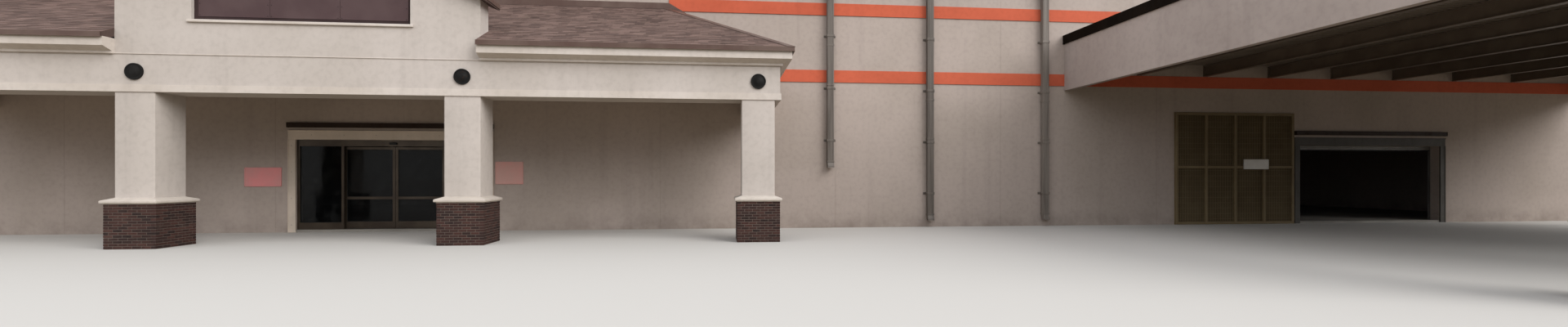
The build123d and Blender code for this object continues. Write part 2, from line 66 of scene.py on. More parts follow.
NEAR = 0.001
MOSTLY = 0.9
STRAIGHT = 0.99
HAIR = 0.001
FINE = 0.002
CRISP = 0.003
SOFT = 0.004
ROUND = 0.006


# Camera, worked out from the photograph, in its 1920 x 400 pixels

PHOTO_WIDTH = 1920
PHOTO_HEIGHT = 400
FOCAL_PIXELS = 750
HORIZON_ROW = 215
SENSOR_WIDTH = 36
VIEW_DEPTH = 500
EYE = (5.25, -10.575, 0.90)
EYE_TURN = 6


def stand(name, data, tip, turn, place=ORIGIN):
    """A camera or a light in the scene, tipped up from looking down and then turned, in degrees."""
    made = bpy.data.objects.new(name, data)
    made.location = place
    made.rotation_euler = (math.radians(tip), 0, math.radians(turn))
    bpy.context.scene.collection.objects.link(made)
    return made


def place_camera():
    data = bpy.data.cameras.new("eye")
    data.sensor_width = SENSOR_WIDTH
    data.lens = SENSOR_WIDTH * FOCAL_PIXELS / PHOTO_WIDTH
    data.shift_y = (HORIZON_ROW - PHOTO_HEIGHT / 2) / PHOTO_WIDTH
    data.clip_end = VIEW_DEPTH
    bpy.context.scene.camera = stand("eye", data, 90, -EYE_TURN, EYE)


# Materials

def shade(red, green, blue):
    """A colour read as 0 to 255 display values, as a linear colour."""
    def linear(value):
        part = value / 255
        return part / 12.92 if part <= 0.04045 else ((part + 0.055) / 1.055) ** 2.4
    return (linear(red), linear(green), linear(blue), 1)


class Value:
    """An output of a graph's nodes. Arithmetic on it adds Math nodes."""

    def __init__(self, graph, socket):
        self.graph = graph
        self.socket = socket

    def joined(self, operation, first, second):
        return self.graph.node("ShaderNodeMath", {0: first, 1: second}, operation=operation)

    def __add__(self, other):
        return self.joined("ADD", self, other)

    def __radd__(self, other):
        return self.joined("ADD", other, self)

    def __sub__(self, other):
        return self.joined("SUBTRACT", self, other)

    def __rsub__(self, other):
        return self.joined("SUBTRACT", other, self)

    def __mul__(self, other):
        return self.joined("MULTIPLY", self, other)

    def __rmul__(self, other):
        return self.joined("MULTIPLY", other, self)

    def larger(self, other):
        return self.joined("MAXIMUM", self, other)


class Graph:
    """The nodes of a material or a world, in front of the shader that it starts with."""

    def __init__(self, holder, shader):
        holder.use_nodes = True
        self.tree = holder.node_tree
        self.shader = self.tree.nodes[shader]
        self.own = Value(self, self.shader.outputs[0])

    def node(self, kind, inputs=None, output=0, stops=(), **settings):
        """Any node: its settings or its ramp's stops first, then the values or links of its sockets."""
        made = self.tree.nodes.new(kind)
        for name, value in settings.items():
            setattr(made, name, value)
        for _ in stops[2:]:
            made.color_ramp.elements.new(0.5)
        for number, (position, value) in enumerate(stops):
            made.color_ramp.elements[number].position = position
            made.color_ramp.elements[number].color = (value, value, value, 1)
        for name, value in (inputs or {}).items():
            self.feed(made.inputs[name], value)
        return Value(self, made.outputs[output])

    def feed(self, socket, value):
        """Link a value to a socket, or set the socket to a number or a colour."""
        if isinstance(value, Value):
            self.tree.links.new(value.socket, socket)
        else:
            socket.default_value = value

    def put(self, **inputs):
        """Feed the shader's own sockets, named with underscores for spaces."""
        for name, value in inputs.items():
            self.feed(self.shader.inputs[name.replace("_", " ")], value)
        return self

    def along(self, axis, space="Object"):
        """The coordinate along X, Y or Z."""
        return self.node("ShaderNodeSeparateXYZ", {0: self.node("ShaderNodeTexCoord", output=space)}, axis)

    def split(self, bounced, seen):
        """One shader for light that bounces, another for what the camera, a mirror or glass shows."""
        surface = self.shader.outputs[0].links[0].to_socket
        mask = self.node("ShaderNodeLightPath", output="Is Camera Ray")
        for name in ("Is Glossy Ray", "Is Transmission Ray"):
            mask = mask.larger(self.node("ShaderNodeLightPath", output=name))
        self.feed(surface, self.node("ShaderNodeMixShader", {0: mask, 1: bounced, 2: seen}))


class Finish(Graph):
    """One material. Its colours are values or display colours from 0 to 255."""

    def __init__(self, name, roughness, metallic=0.0, specular=0.5):
        self.name = name
        self.material = bpy.data.materials.new(name)
        super().__init__(self.material, "Principled BSDF")
        self.put(Roughness=roughness, Metallic=metallic, Specular_IOR_Level=specular)

    def noise(self, scale, detail, stretch=EVEN):
        """Noise on the object's own coordinates, stretched as asked for."""
        point = self.node("ShaderNodeTexCoord", output="Object")
        place = self.node("ShaderNodeMapping", {"Vector": point, "Scale": stretch})
        return self.node("ShaderNodeTexNoise", {"Vector": place, "Scale": scale, "Detail": detail, "Roughness": 0.55})

    def ease(self, value, low, high):
        """0 at the low value, 1 at the high one, smooth between them."""
        return self.node("ShaderNodeMapRange", {"Value": value, "From Min": low, "From Max": high},
                         interpolation_type="SMOOTHSTEP")

    def cloud(self, scale, detail, low=0.35, high=0.68, stretch=EVEN):
        """Soft patches from 0 to 1: noise, cut off below a low value and above a high one."""
        return self.ease(self.noise(scale, detail, stretch), low, high)

    def lines(self, axis, spacing, first, half_width):
        """1 on evenly spaced lines across an axis, 0 between them."""
        distance = self.node("ShaderNodeMath", {0: self.along(axis) - first, 1: spacing / 2}, operation="PINGPONG")
        return 1 - self.ease(distance, half_width * 0.5, half_width)

    def mix(self, factor, first, second, way="MIX"):
        """A colour between two colours."""
        first, second = [colour if isinstance(colour, Value) else shade(*colour) for colour in (first, second)]
        return self.node("ShaderNodeMix", {0: factor, 6: first, 7: second}, 2, data_type="RGBA", blend_type=way)

    def tint(self, colour, factor, blend):
        """A colour multiplied towards another one."""
        return self.mix(factor, colour, blend, "MULTIPLY")

    def tone(self):
        """The tone that each repeated shape has."""
        return self.node("ShaderNodeAttribute", output="Fac", attribute_name="tone")

    def bumps(self, height, distance, strength):
        """Relief from a height, this deep at its full strength."""
        relief = self.node("ShaderNodeBump", {"Height": height, "Distance": distance, "Strength": strength})
        return self.put(Normal=relief)


JOINT_SPACING = 3.0
JOINT_STARTS = (("X", 1.25), ("Y", 1.425))
JOINT_HALF = 0.006


def stucco(name, colour, dull, soil=(104, 92, 82), foot=0.35, joints=0.0):
    """Painted stucco: fine grain, cloudy tone, run-down streaks, soil near the ground and joints if asked for."""
    finish = Finish(name, roughness=0.88, specular=0.3)
    cloud = finish.cloud(0.7, 6)
    runs = finish.cloud(1.0, 5, 0.5, 0.8, stretch=(5.5, 5.5, 0.22))
    splash = (1 - finish.ease(finish.along("Z"), 0.0, foot)) * finish.cloud(3.0, 5, 0.25, 0.75)
    streaked = finish.tint(finish.mix(cloud, colour, dull), runs * 0.10, soil)
    soiled = finish.mix(splash * 0.45, streaked, soil)
    patches = finish.cloud(14, 4, 0.4, 0.75)
    grain = finish.noise(420, 3) + finish.noise(70, 4) * 0.8
    if joints:
        sideways, inwards = [finish.lines(axis, JOINT_SPACING, first, JOINT_HALF) for axis, first in JOINT_STARTS]
        grooves = sideways.larger(inwards)
        soiled = finish.tint(soiled, grooves * joints, (150, 140, 132))
        grain = grain - grooves * 3.0
    finish.put(Base_Color=finish.tint(soiled, patches * 0.10, soil), Roughness=0.8 + cloud * 0.12)
    return finish.bumps(grain, 0.0012, 0.6)


def painted_metal(name, colour, worn, roughness=0.45, metallic=0.0, rust=0.0, specular=0.4):
    """Painted sheet or bar: faint clouds, chalky patches, dust that dulls it and specks of rust."""
    finish = Finish(name, roughness, metallic, specular)
    dust = finish.cloud(9.0, 5, 0.45, 0.8, stretch=(2.0, 2.0, 0.5))
    body = finish.mix(finish.cloud(2.5, 6) * 0.7, colour, worn)
    body = finish.mix(dust * 0.25, body, worn)
    if rust:
        specks = finish.cloud(38, 6, 0.62, 0.72) * finish.cloud(3.0, 4, 0.4, 0.7)
        body = finish.mix(specks * rust, body, (104, 62, 40))
        dust = dust + specks
    finish.put(Base_Color=body, Roughness=roughness + dust * 0.25)
    return finish.bumps(finish.noise(60, 3), 0.0004, 0.5)


def downspout_paint(name, dark, light):
    """Painted sheet whose pipes have weathered differently, with runs of dirt."""
    finish = Finish(name, roughness=0.5)
    runs = finish.cloud(2.0, 5, 0.42, 0.75, stretch=(8.0, 8.0, 0.4))
    body = finish.mix(finish.tone(), dark, light)
    body = finish.tint(body, runs * 0.5, (96, 84, 74))
    chalk = finish.cloud(24, 5, 0.55, 0.8)
    finish.put(Base_Color=finish.mix(chalk * 0.12, body, light), Roughness=0.45 + runs * 0.2)
    return finish.bumps(finish.noise(50, 3), 0.0004, 0.5)


def brickwork(name, dark, red, bloom_colour):
    """Fired brick: each one its own tone, with sanded grit, kiln spots and lime bloom."""
    finish = Finish(name, roughness=0.88, specular=0.3)
    grit = finish.cloud(160, 4, 0.4, 0.65)
    spots = finish.cloud(24, 5, 0.52, 0.7)
    bloom = finish.cloud(5.0, 6, 0.55, 0.8)
    body = finish.tint(finish.mix(finish.tone(), dark, red), spots * 0.5, (120, 104, 100))
    body = finish.mix(bloom * 0.25, body, bloom_colour)
    finish.put(Base_Color=finish.tint(body, grit * 0.3, (150, 140, 136)), Roughness=0.82 + grit * 0.12)
    return finish.bumps(finish.noise(240, 3) + spots * 0.8, 0.0014, 0.8)


def shingle(name, dark, light, lichen):
    """Granule-coated shingles: each tab its own tone, with speckle and weather stains."""
    finish = Finish(name, roughness=0.92, specular=0.25)
    granules = finish.cloud(330, 2, 0.35, 0.65)
    stains = finish.cloud(1.1, 6, 0.45, 0.75, stretch=(2.6, 1.0, 1.0))
    growth = finish.cloud(4.5, 6, 0.58, 0.78)
    body = finish.mix(growth * 0.25, finish.mix(finish.tone(), dark, light), lichen)
    body = finish.tint(body, stains * 0.4, (150, 142, 138))
    finish.put(Base_Color=finish.tint(body, granules * 0.35, (142, 134, 130)))
    return finish.bumps(finish.noise(330, 2), 0.0010, 0.9)


def concrete(name, colour, dull):
    """Trowelled concrete or mortar with clouds and fine pores."""
    finish = Finish(name, roughness=0.7, specular=0.4)
    cloud = finish.cloud(0.8, 8, 0.3, 0.7)
    finish.put(Base_Color=finish.mix(cloud, colour, dull), Roughness=0.62 + cloud * 0.2)
    return finish.bumps(finish.cloud(160, 2, 0.62, 0.75), 0.0008, -0.6)


def membrane(name, colour, dull):
    """Roofing membrane: faint dried puddles, dirt drifts and a fine woven grain."""
    finish = Finish(name, roughness=0.75, specular=0.3)
    puddles = finish.cloud(0.3, 2, 0.56, 0.66)
    dirt = finish.cloud(1.6, 7, 0.4, 0.8)
    body = finish.mix(finish.cloud(0.4, 8, 0.25, 0.75), colour, dull)
    body = finish.tint(body, dirt * 0.10, (140, 128, 114))
    finish.put(Base_Color=finish.tint(body, puddles * 0.12, (128, 116, 102)), Roughness=0.7 + dirt * 0.15)
    return finish.bumps(finish.noise(120, 3), 0.0006, 0.5)


def glass(name, colour):
    """Tinted glazing with a faint film of dust, its dark colour partly painted shade for the dark inside behind it."""
    finish = Finish(name, roughness=0.05, specular=0.18)
    film = finish.cloud(6.0, 5, 0.4, 0.8)
    return finish.put(Base_Color=finish.mix(film * 0.2, colour, (70, 72, 72)),
                      Roughness=0.04 + film * 0.12, Alpha=0.62 + film * 0.12)


def make_finishes():
    """Every finish, those of the record's slots among them, by its name."""
    made = [
        stucco("wall_stucco", (181, 168, 161), (172, 160, 152), joints=0.15),
        stucco("pale_stucco", (197, 189, 184), (189, 181, 175), foot=0.1),
        stucco("trim_stucco", (209, 201, 195), (197, 188, 180), foot=0.1),
        stucco("orange_paint", (204, 100, 72), (192, 94, 68), soil=(132, 84, 66)),
        stucco("fascia_stucco", (180, 168, 163), (168, 156, 151)),
        stucco("cap_stone", (205, 197, 189), (190, 181, 172), foot=0.05),
        concrete("concrete", (150, 146, 140), (122, 118, 112)),
        concrete("mortar", (116, 105, 97), (95, 86, 79)),
        brickwork("brick", (43, 30, 29), (74, 48, 43), (112, 96, 90)),
        shingle("shingles", (92, 76, 71), (104, 88, 82), (108, 101, 86)),
        shingle("shingle_tabs", (98, 80, 75), (132, 110, 103), (126, 118, 100)),
        membrane("flat_roofing", (154, 152, 147), (148, 145, 140)),
        painted_metal("panel_paint", (74, 55, 57), (86, 68, 69), roughness=0.5, specular=0.3),
        # frame_paint: partly the frame's own dark paint, partly painted shade, standing for the shadow round the
        # panel's edges
        painted_metal("frame_paint", (50, 36, 37), (62, 48, 48), roughness=0.6, specular=0.2),
        # black_metal: the rails' dark paint, and partly painted shade for the shadow line over the openings' headers
        painted_metal("black_metal", (38, 24, 14), (46, 32, 22), roughness=0.6, specular=0.15),
        painted_metal("iron", (14, 13, 13), (28, 26, 25), roughness=0.6, rust=0.3, specular=0.2),
        downspout_paint("dark_metal", (60, 52, 46), (120, 112, 105)),
        painted_metal("coping_metal", (84, 62, 55), (104, 86, 78), roughness=0.4),
        painted_metal("edge_metal", (18, 12, 8), (28, 20, 14), roughness=0.75, specular=0.05),
        painted_metal("header_paint", (214, 200, 186), (192, 180, 167)),
        # shutter_trim_paint: partly the trim's own grey, partly painted shade, darker than the entrance's trims for the
        # canopy's shade
        painted_metal("shutter_trim_paint", (80, 77, 73), (68, 65, 61), roughness=0.6, specular=0.2),
        painted_metal("door_metal", (58, 49, 41), (82, 72, 61), roughness=0.35, metallic=0.6),
        painted_metal("bolt_steel", (120, 116, 110), (92, 84, 76), roughness=0.4, metallic=0.8, rust=0.4),
        painted_metal("rubber", (20, 20, 20), (38, 37, 36), roughness=0.7),
        # door_glass: near black partly as painted shade, standing for the dark inside seen through the doors
        glass("door_glass", (12, 13, 14)),
        painted_metal("shutter_metal", (126, 124, 119), (100, 96, 91), rust=0.2),
        # canopy_steel: partly the steel's paint, partly painted light, lightened to make up for the dim light under the
        # canopy
        painted_metal("canopy_steel", (102, 90, 79), (122, 110, 98), rust=0.3),
        painted_metal("canopy_deck_metal", (130, 120, 110), (112, 103, 93), rust=0.2),
        painted_metal("screen_mesh", (112, 97, 72), (128, 114, 88), roughness=0.6, specular=0.2),
        painted_metal("screen_cloth", (90, 78, 59), (104, 92, 71), roughness=0.9, specular=0.1),
        painted_metal("red_board", (236, 148, 150), (214, 156, 154)),
        painted_metal("faded_board", (222, 164, 158), (208, 170, 162)),
        painted_metal("white_board", (222, 220, 216), (196, 192, 186)),
    ]
    return {finish.name: finish for finish in made}


def finish_nodes():
    """Give each CAD node the finish of its slot."""
    for part in frame["record"]["subparts"]:
        mesh = nodes[part["node"]].data
        mesh.materials.clear()
        mesh.materials.append(finishes[part["material_slot"]].material)


# Modelling by hand: each piece starts as a primitive at its size and place

ALL = "all"
CREASE = 35


def only(piece):
    """Make one piece the active one, alone selected."""
    bpy.ops.object.select_all(action="DESELECT")
    piece.select_set(True)
    bpy.context.view_layer.objects.active = piece


def settle(piece):
    """Put a piece's place, turn and size into its mesh."""
    only(piece)
    bpy.ops.object.transform_apply(location=True, rotation=True, scale=True)
    return piece


def block(low, high):
    """A block between two corners."""
    bpy.ops.object.select_all(action="DESELECT")
    middle = [(first + last) / 2 for first, last in zip(low, high)]
    size = [last - first for first, last in zip(low, high)]
    bpy.ops.mesh.primitive_cube_add(size=1, location=middle, scale=size)
    return settle(bpy.context.object)


def round_bar(start, end, radius, sides):
    """A round bar between two points."""
    bpy.ops.object.select_all(action="DESELECT")
    line = Vector(end) - Vector(start)
    bpy.ops.mesh.primitive_cylinder_add(vertices=sides, radius=radius, depth=line.length)
    piece = bpy.context.object
    turn = line.to_track_quat("Z", "Y").to_matrix().to_4x4()
    piece.matrix_world = Matrix.Translation((Vector(start) + Vector(end)) / 2) @ turn
    return settle(piece)


def facing(direction):
    """A test for faces that look one way."""
    return lambda middle, normal: normal.dot(Vector(direction)) > MOSTLY


def edges(direction=None, **places):
    """A test for edges that run one way, if it is given, and have their middle at the coordinates given."""
    def test(middle, line):
        near = all(abs(getattr(middle, axis) - value) < NEAR for axis, value in places.items())
        return near and (direction is None or abs(line.dot(Vector(direction))) > STRAIGHT)
    return test


def choose(piece, kind, test):
    """Edit a piece, with the faces or edges selected that pass a test."""
    only(piece)
    bpy.ops.object.mode_set(mode="EDIT")
    bpy.ops.mesh.select_mode(type=kind)
    bpy.ops.mesh.select_all(action="SELECT" if test == ALL else "DESELECT")
    if test == ALL:
        return
    mesh = bmesh.from_edit_mesh(piece.data)
    for part in mesh.faces if kind == "FACE" else mesh.edges:
        if kind == "FACE":
            picked = test(part.calc_center_median(), part.normal)
        else:
            first, last = (corner.co for corner in part.verts)
            picked = test((first + last) / 2, (last - first).normalized())
        if picked:
            part.select_set(True)
    bmesh.update_edit_mesh(piece.data)


def done(piece):
    """Leave edit mode."""
    bpy.ops.object.mode_set(mode="OBJECT")
    return piece


def bevel(piece, width, test=ALL, steps=1):
    """Bevel the edges that pass a test."""
    choose(piece, "EDGE", test)
    bpy.ops.mesh.bevel(offset=width, segments=steps, affect="EDGES")
    return done(piece)


def eased(low, high, width, test=ALL, steps=1):
    """A block between two corners, with bevelled edges."""
    return bevel(block(low, high), width, test, steps)


def extrude(piece, test, move, grow=None, about=None):
    """Pull the faces that pass a test by a move, and scale them about a point."""
    choose(piece, "FACE", test)
    bpy.ops.mesh.extrude_region_move(TRANSFORM_OT_translate={"value": move})
    if grow:
        bpy.ops.transform.resize(value=grow, center_override=about)
    return done(piece)


def inset(piece, test, *steps):
    """Inset the faces that pass a test, once for each pair of width and depth."""
    choose(piece, "FACE", test)
    for width, depth in steps:
        bpy.ops.mesh.inset(thickness=width, depth=depth)
    return done(piece)


def shift(piece, test, move):
    """Move the edges that pass a test."""
    choose(piece, "EDGE", test)
    bpy.ops.transform.translate(value=move)
    return done(piece)


def outward(piece):
    """Turn every face outwards."""
    choose(piece, "FACE", ALL)
    bpy.ops.mesh.normals_make_consistent(inside=False)
    return done(piece)


def cut(piece, *planes):
    """Take away what lies beyond each plane, given as a point and a normal, and close the cuts."""
    for point, normal in planes:
        choose(piece, "FACE", ALL)
        bpy.ops.mesh.bisect(plane_co=point, plane_no=Vector(normal).normalized(), use_fill=True, clear_outer=True)
        done(piece)
        piece.data.validate()
    return piece


def mitres(length, at_start=True, at_end=True):
    """The planes that mitre a run along X, at one end or both, its inner side on its left."""
    return [(ORIGIN, (-1, 1, 0))] * at_start + [((length, 0, 0), (1, 1, 0))] * at_end


def lay(piece, start, along, up):
    """Place a piece that was modelled at the origin: its X runs along a line and its Z looks up."""
    x_axis = Vector(along).normalized()
    z_axis = Vector(up)
    z_axis = (z_axis - x_axis * z_axis.dot(x_axis)).normalized()
    turn = Matrix((x_axis, z_axis.cross(x_axis), z_axis)).transposed().to_4x4()
    piece.matrix_world = Matrix.Translation(start) @ turn
    return settle(piece)


def moved(piece, move):
    """Move a piece's mesh."""
    piece.data.transform(Matrix.Translation(move))
    return piece


def row(piece, count, step):
    """Repeat a piece along a step."""
    change = piece.modifiers.new("row", "ARRAY")
    change.count = count
    change.use_relative_offset = False
    change.use_constant_offset = True
    change.constant_offset_displace = step
    only(piece)
    bpy.ops.object.modifier_apply(modifier=change.name)
    return piece


def join(pieces):
    """Several pieces as one."""
    only(pieces[0])
    for piece in pieces:
        piece.select_set(True)
    if len(pieces) > 1:
        bpy.ops.object.join()
    return pieces[0]


def twin(piece, change=Matrix()):
    """A copy of a piece with its own mesh, moved or turned by a matrix."""
    made = piece.copy()
    made.data = piece.data.copy()
    made.data.transform(change)
    bpy.context.scene.collection.objects.link(made)
    return made


def repeated(piece, changes):
    """A copy of the piece for each matrix, as one piece in its stead."""
    made = [twin(piece, change) for change in changes]
    bpy.data.objects.remove(piece)
    return join(made)


def copies(piece, moves):
    """The piece repeated at each move."""
    return repeated(piece, [Matrix.Translation(move) for move in moves])


def quarter_turns(piece):
    """The piece four times round the upright axis through the origin."""
    return repeated(piece, [Matrix.Rotation(math.radians(90 * number), 4, "Z") for number in range(4)])


def mirrored(piece, normal=RIGHT, through=ORIGIN):
    """A copy on the other side of a plane, with its faces looking outwards again."""
    point = Matrix.Translation(through)
    return outward(twin(piece, point @ Matrix.Scale(-1, 4, normal) @ point.inverted()))


def smooth(piece, angle=CREASE):
    """Smooth shading across edges that are blunter than an angle in degrees."""
    only(piece)
    bpy.ops.object.shade_smooth_by_angle(angle=math.radians(angle))
    return piece


def give_tones(piece, tones, faces_each):
    """A tone for each run of faces."""
    values = piece.data.attributes.new("tone", "FLOAT", "FACE")
    values.data.foreach_set("value", [tones[number // faces_each] for number in range(len(piece.data.polygons))])
    return piece


def random_tones(piece, faces_each):
    """A random tone from 0 to 1 for each repeated shape."""
    return give_tones(piece, [chance.random() for _ in range(len(piece.data.polygons) // faces_each + 1)], faces_each)


def finished(piece, name, finish, replaced=(), body="building"):
    """Name a piece, give it its finish, let it ride on its body, and hide the nodes that it replaces."""
    piece.name = name
    piece.data.name = name
    piece.data.materials.clear()
    piece.data.materials.append(finishes[finish].material)
    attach(piece, body)
    if replaced:
        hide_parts(*replaced)


# Places: evenly spread, in a grid, and round the corners of a box

def spread(first, last, count):
    """Evenly spaced values from the first to the last."""
    return [first + (last - first) * number / (count - 1) for number in range(count)]


def upright_grid(across, depth, heights):
    """Every place across at every height, all at one depth."""
    return [(x, depth, height) for x in across for height in heights]


def corners(low, high, height):
    """The corners of a box at a height, counterclockwise from the front left."""
    return [(x, y, height) for x, y in ((low.x, low.y), (high.x, low.y), (high.x, high.y), (low.x, high.y))]


def all_round(points):
    """Each corner with the next one, and the last with the first."""
    return zip(points, points[1:] + points[:1])


# Bolts and screws that look out of the front

SCREW_RADIUS = 0.005
SCREW_HEIGHT = 0.002
WASHER_RADIUS = 0.010
BOLT_HEIGHT = 0.008
BOLT_SHARE = 0.68
BOLT_CHAMFER = 0.12
SCREW_SIDES = 8
WASHER_SIDES = 12
HEXAGON = 6


def screws(places, radius=SCREW_RADIUS, height=SCREW_HEIGHT):
    """Domed heads at each place."""
    head = round_bar((0, NEAR, 0), (0, -height, 0), radius, SCREW_SIDES)
    inset(head, facing(FRONT), (radius / 3, height / 3), (radius / 4, -height / 3))
    return copies(head, places)


def bolts(places):
    """Hexagon heads on round washers at each place."""
    washer = round_bar((0, NEAR, 0), (0, -BOLT_HEIGHT / 4, 0), WASHER_RADIUS, WASHER_SIDES)
    head = round_bar(ORIGIN, (0, -BOLT_HEIGHT, 0), WASHER_RADIUS * BOLT_SHARE, HEXAGON)
    inset(head, facing(FRONT), (WASHER_RADIUS * BOLT_CHAMFER, BOLT_HEIGHT * BOLT_CHAMFER))
    return copies(join([washer, head]), places)


# Portico roof: shingles, hip caps and drip edges

TAB_WIDTHS = (0.120, 0.170, 0.140, 0.190)
TAB_THICKNESSES = (0.006, 0.0045, 0.0065, 0.005)
TAB_GAP = 0.004
TAB_TAIL = 0.001
TAB_FACES = 6
COURSE = 0.072
COURSE_SHIFTS = (0, 0.230, 0.095, 0.360)
STRIP_LENGTH = sum(TAB_WIDTHS) + len(TAB_WIDTHS) * TAB_GAP
SHINGLE_TOP = max(TAB_THICKNESSES)
HIP_RUN = 1.850
EAVE_EDGE = 0.045
CAP_WIDTH = 0.150
CAP_THICKNESS = 0.006
DRIP_HEIGHT = 0.052
DRIP_THICKNESS = 0.010
DRIP_KICK = 0.006


def shingle_strip():
    """Four tabs side by side, each a wedge that is thick at its lower edge."""
    tabs = []
    start = 0
    for width, thickness in zip(TAB_WIDTHS, TAB_THICKNESSES):
        tab = block((start, 0, 0), (start + width, COURSE, thickness))
        tabs.append(shift(tab, edges(RIGHT, y=COURSE, z=thickness), (0, 0, TAB_TAIL - thickness)))
        start += width + TAB_GAP
    return join(tabs)


def shingle_field(length, slope):
    """Courses of tabs in the ground plane: X along the eave, Y up the slope."""
    cycle = [(-sideways, number * COURSE, 0) for number, sideways in enumerate(COURSE_SHIFTS)]
    field = copies(shingle_strip(), cycle)
    row(field, math.ceil(length / STRIP_LENGTH) + 1, (STRIP_LENGTH, 0, 0))
    row(field, math.ceil(slope / (len(cycle) * COURSE)), (0, len(cycle) * COURSE, 0))
    return random_tones(field, TAB_FACES)


def roof_places():
    """The right end's eave corner and hip top, and the normals of the front slope and the end slope."""
    low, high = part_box("right_wing_roof")
    corner = Vector((high.x, low.y, low.z + EAVE_EDGE))
    top = Vector((high.x - HIP_RUN, high.y, high.z))
    front_normal = Vector((0, corner.z - top.z, top.y - corner.y)).normalized()
    end_normal = Vector((top.z - corner.z, 0, HIP_RUN)).normalized()
    return corner, top, front_normal, end_normal


def flip(point):
    """The same place on the left of the entrance."""
    return Vector((-point[0], point[1], point[2]))


def portico_shingles():
    """Shingles on the front slope, round the tower's wall, and on both end slopes."""
    corner, top, front_normal, end_normal = roof_places()
    hip_side = Vector((top.y - corner.y, HIP_RUN, 0))
    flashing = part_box("roof_flashing")[0]
    left_wall, right_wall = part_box("gable_wall")
    field = lay(shingle_field(2 * corner.x, (top - corner).length), flip(corner), RIGHT, front_normal)
    cut(field, (flashing, BACK), (corner, hip_side), (flip(corner), flip(hip_side)))
    right = cut(twin(field), (right_wall, LEFT))
    left = cut(twin(field), (left_wall, RIGHT))
    cut(field, (right_wall, RIGHT), (left_wall, LEFT), (right_wall, FRONT))
    end = shingle_field(top.y - corner.y, math.hypot(HIP_RUN, top.z - corner.z))
    cut(lay(end, corner, BACK, end_normal), (flashing, BACK), (corner, -hip_side))
    return [field, right, left, end, mirrored(end)]


def gable_slope():
    """The tower roof's right eave in front, and its ridge at the back, both on its top."""
    low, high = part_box("gable_roof")
    points = [point.co for point in nodes["gable_roof"].data.vertices]
    eave_height = max(point.z for point in points if point.x > high.x - NEAR)
    return Vector((high.x, low.y, eave_height)), Vector((0, high.y, high.z))


def gable_shingles():
    """Shingles on the tower's two slopes."""
    eave, ridge = gable_slope()
    rise = ridge.z - eave.z
    slope = lay(shingle_field(ridge.y - eave.y, math.hypot(eave.x, rise)), eave, BACK, (rise, 0, eave.x))
    cut(slope, (eave, FRONT), (ridge, BACK), (ridge, LEFT))
    return [slope, mirrored(slope)]


def folded_strip(length, fall):
    """A strip of sheet along X, folded along its middle line, whose sides fall at a slope."""
    half = CAP_WIDTH / 2
    strip = block((0, -half, -half * fall), (length, half, CAP_THICKNESS - half * fall))
    choose(strip, "EDGE", edges(BACK))
    bpy.ops.mesh.subdivide(number_cuts=1)
    return shift(done(strip), edges(RIGHT, y=0), (0, 0, half * fall))


def roof_caps():
    """Folded metal caps on the hips and on the tower's ridge."""
    corner, top, front_normal, end_normal = roof_places()
    line = top - corner
    hip = folded_strip(line.length + 2 * CAP_WIDTH, math.tan(front_normal.angle(end_normal) / 2))
    hip_up = front_normal + end_normal
    lay(hip, corner + hip_up.normalized() * SHINGLE_TOP - line.normalized() * CAP_WIDTH, line, hip_up)
    reach = DRIP_THICKNESS / 2 + DRIP_KICK
    cut(hip, (corner + Vector((0, -reach, 0)), FRONT), (corner + Vector((reach, 0, 0)), RIGHT),
        (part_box("roof_flashing")[0], BACK))
    eave, ridge = gable_slope()
    ridge_cap = folded_strip(ridge.y - eave.y, (ridge.z - eave.z) / eave.x)
    lay(ridge_cap, (0, eave.y, ridge.z + SHINGLE_TOP), BACK, UP)
    return [hip, mirrored(hip), ridge_cap]


def drip(length):
    """A drip edge along X: an upright sheet whose foot kicks out."""
    half = DRIP_THICKNESS / 2
    strip = block((0, -half, -DRIP_HEIGHT), (length, half, SHINGLE_TOP))
    extrude(strip, facing(DOWN), (0, -DRIP_KICK, -DRIP_KICK))
    return bevel(strip, FINE, edges(RIGHT))


def drip_edges():
    """Drip edges along the eaves, mitred at the corners, and up the tower's rakes."""
    corner, top = roof_places()[:2]
    wall_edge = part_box("gable_wall")[1].x
    reach = DRIP_THICKNESS + DRIP_KICK
    front = lay(drip(corner.x + reach - wall_edge), (wall_edge, corner.y, corner.z), RIGHT, UP)
    cut(front, (corner, (1, 1, 0)))
    end = lay(drip(top.y - corner.y + reach), corner - Vector((0, reach, 0)), BACK, UP)
    cut(end, (corner, (-1, -1, 0)), (top, BACK))
    eave, ridge = gable_slope()
    side = lay(drip(ridge.y - eave.y), eave, BACK, UP)
    fall = Vector((eave.x, 0, eave.z - ridge.z))
    rake = lay(drip(fall.length), (0, eave.y, ridge.z), fall, (ridge.z - eave.z, 0, eave.x))
    cut(rake, (ORIGIN, LEFT))
    made = [front, end, side, rake, mirrored(rake, BACK, (eave + ridge) / 2)]
    return made + [mirrored(piece) for piece in made]


def make_roofing():
    finished(join(portico_shingles() + gable_shingles()), "roof_shingles", "shingle_tabs")
    finished(join(roof_caps()), "roof_caps", "coping_metal")
    finished(join(drip_edges()), "drip_edges", "coping_metal")


# Columns: brick bases, cast caps and stucco shafts

SHAFTS = ("portico_column_shafts", "canopy_column_shafts")
COLUMNS_A_ROW = 4
BRICKS_A_SIDE = 5
BRICK_COURSES = 16
BRICK_DEPTH = 0.054
MORTAR = 0.005
MORTAR_RECESS = 0.004
CAP_EDGE = 0.045
CAP_BED = 0.012
SHAFT_ARRIS = 0.010


def column_row(node):
    """Plan centres of the four columns in a row, and their side."""
    low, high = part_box(node)
    side = high.y - low.y
    return [(x, (low.y + high.y) / 2) for x in spread(low.x + side / 2, high.x - side / 2, COLUMNS_A_ROW)], side


def at_columns(piece, height=0, rows=SHAFTS):
    """The piece on the axis of each column, at a height."""
    return copies(piece, [(x, y, height) for node in rows for x, y in column_row(node)[0]])


def post(half, bottom, top):
    """A square block round the upright axis through the origin."""
    return block((-half, -half, bottom), (half, half, top))


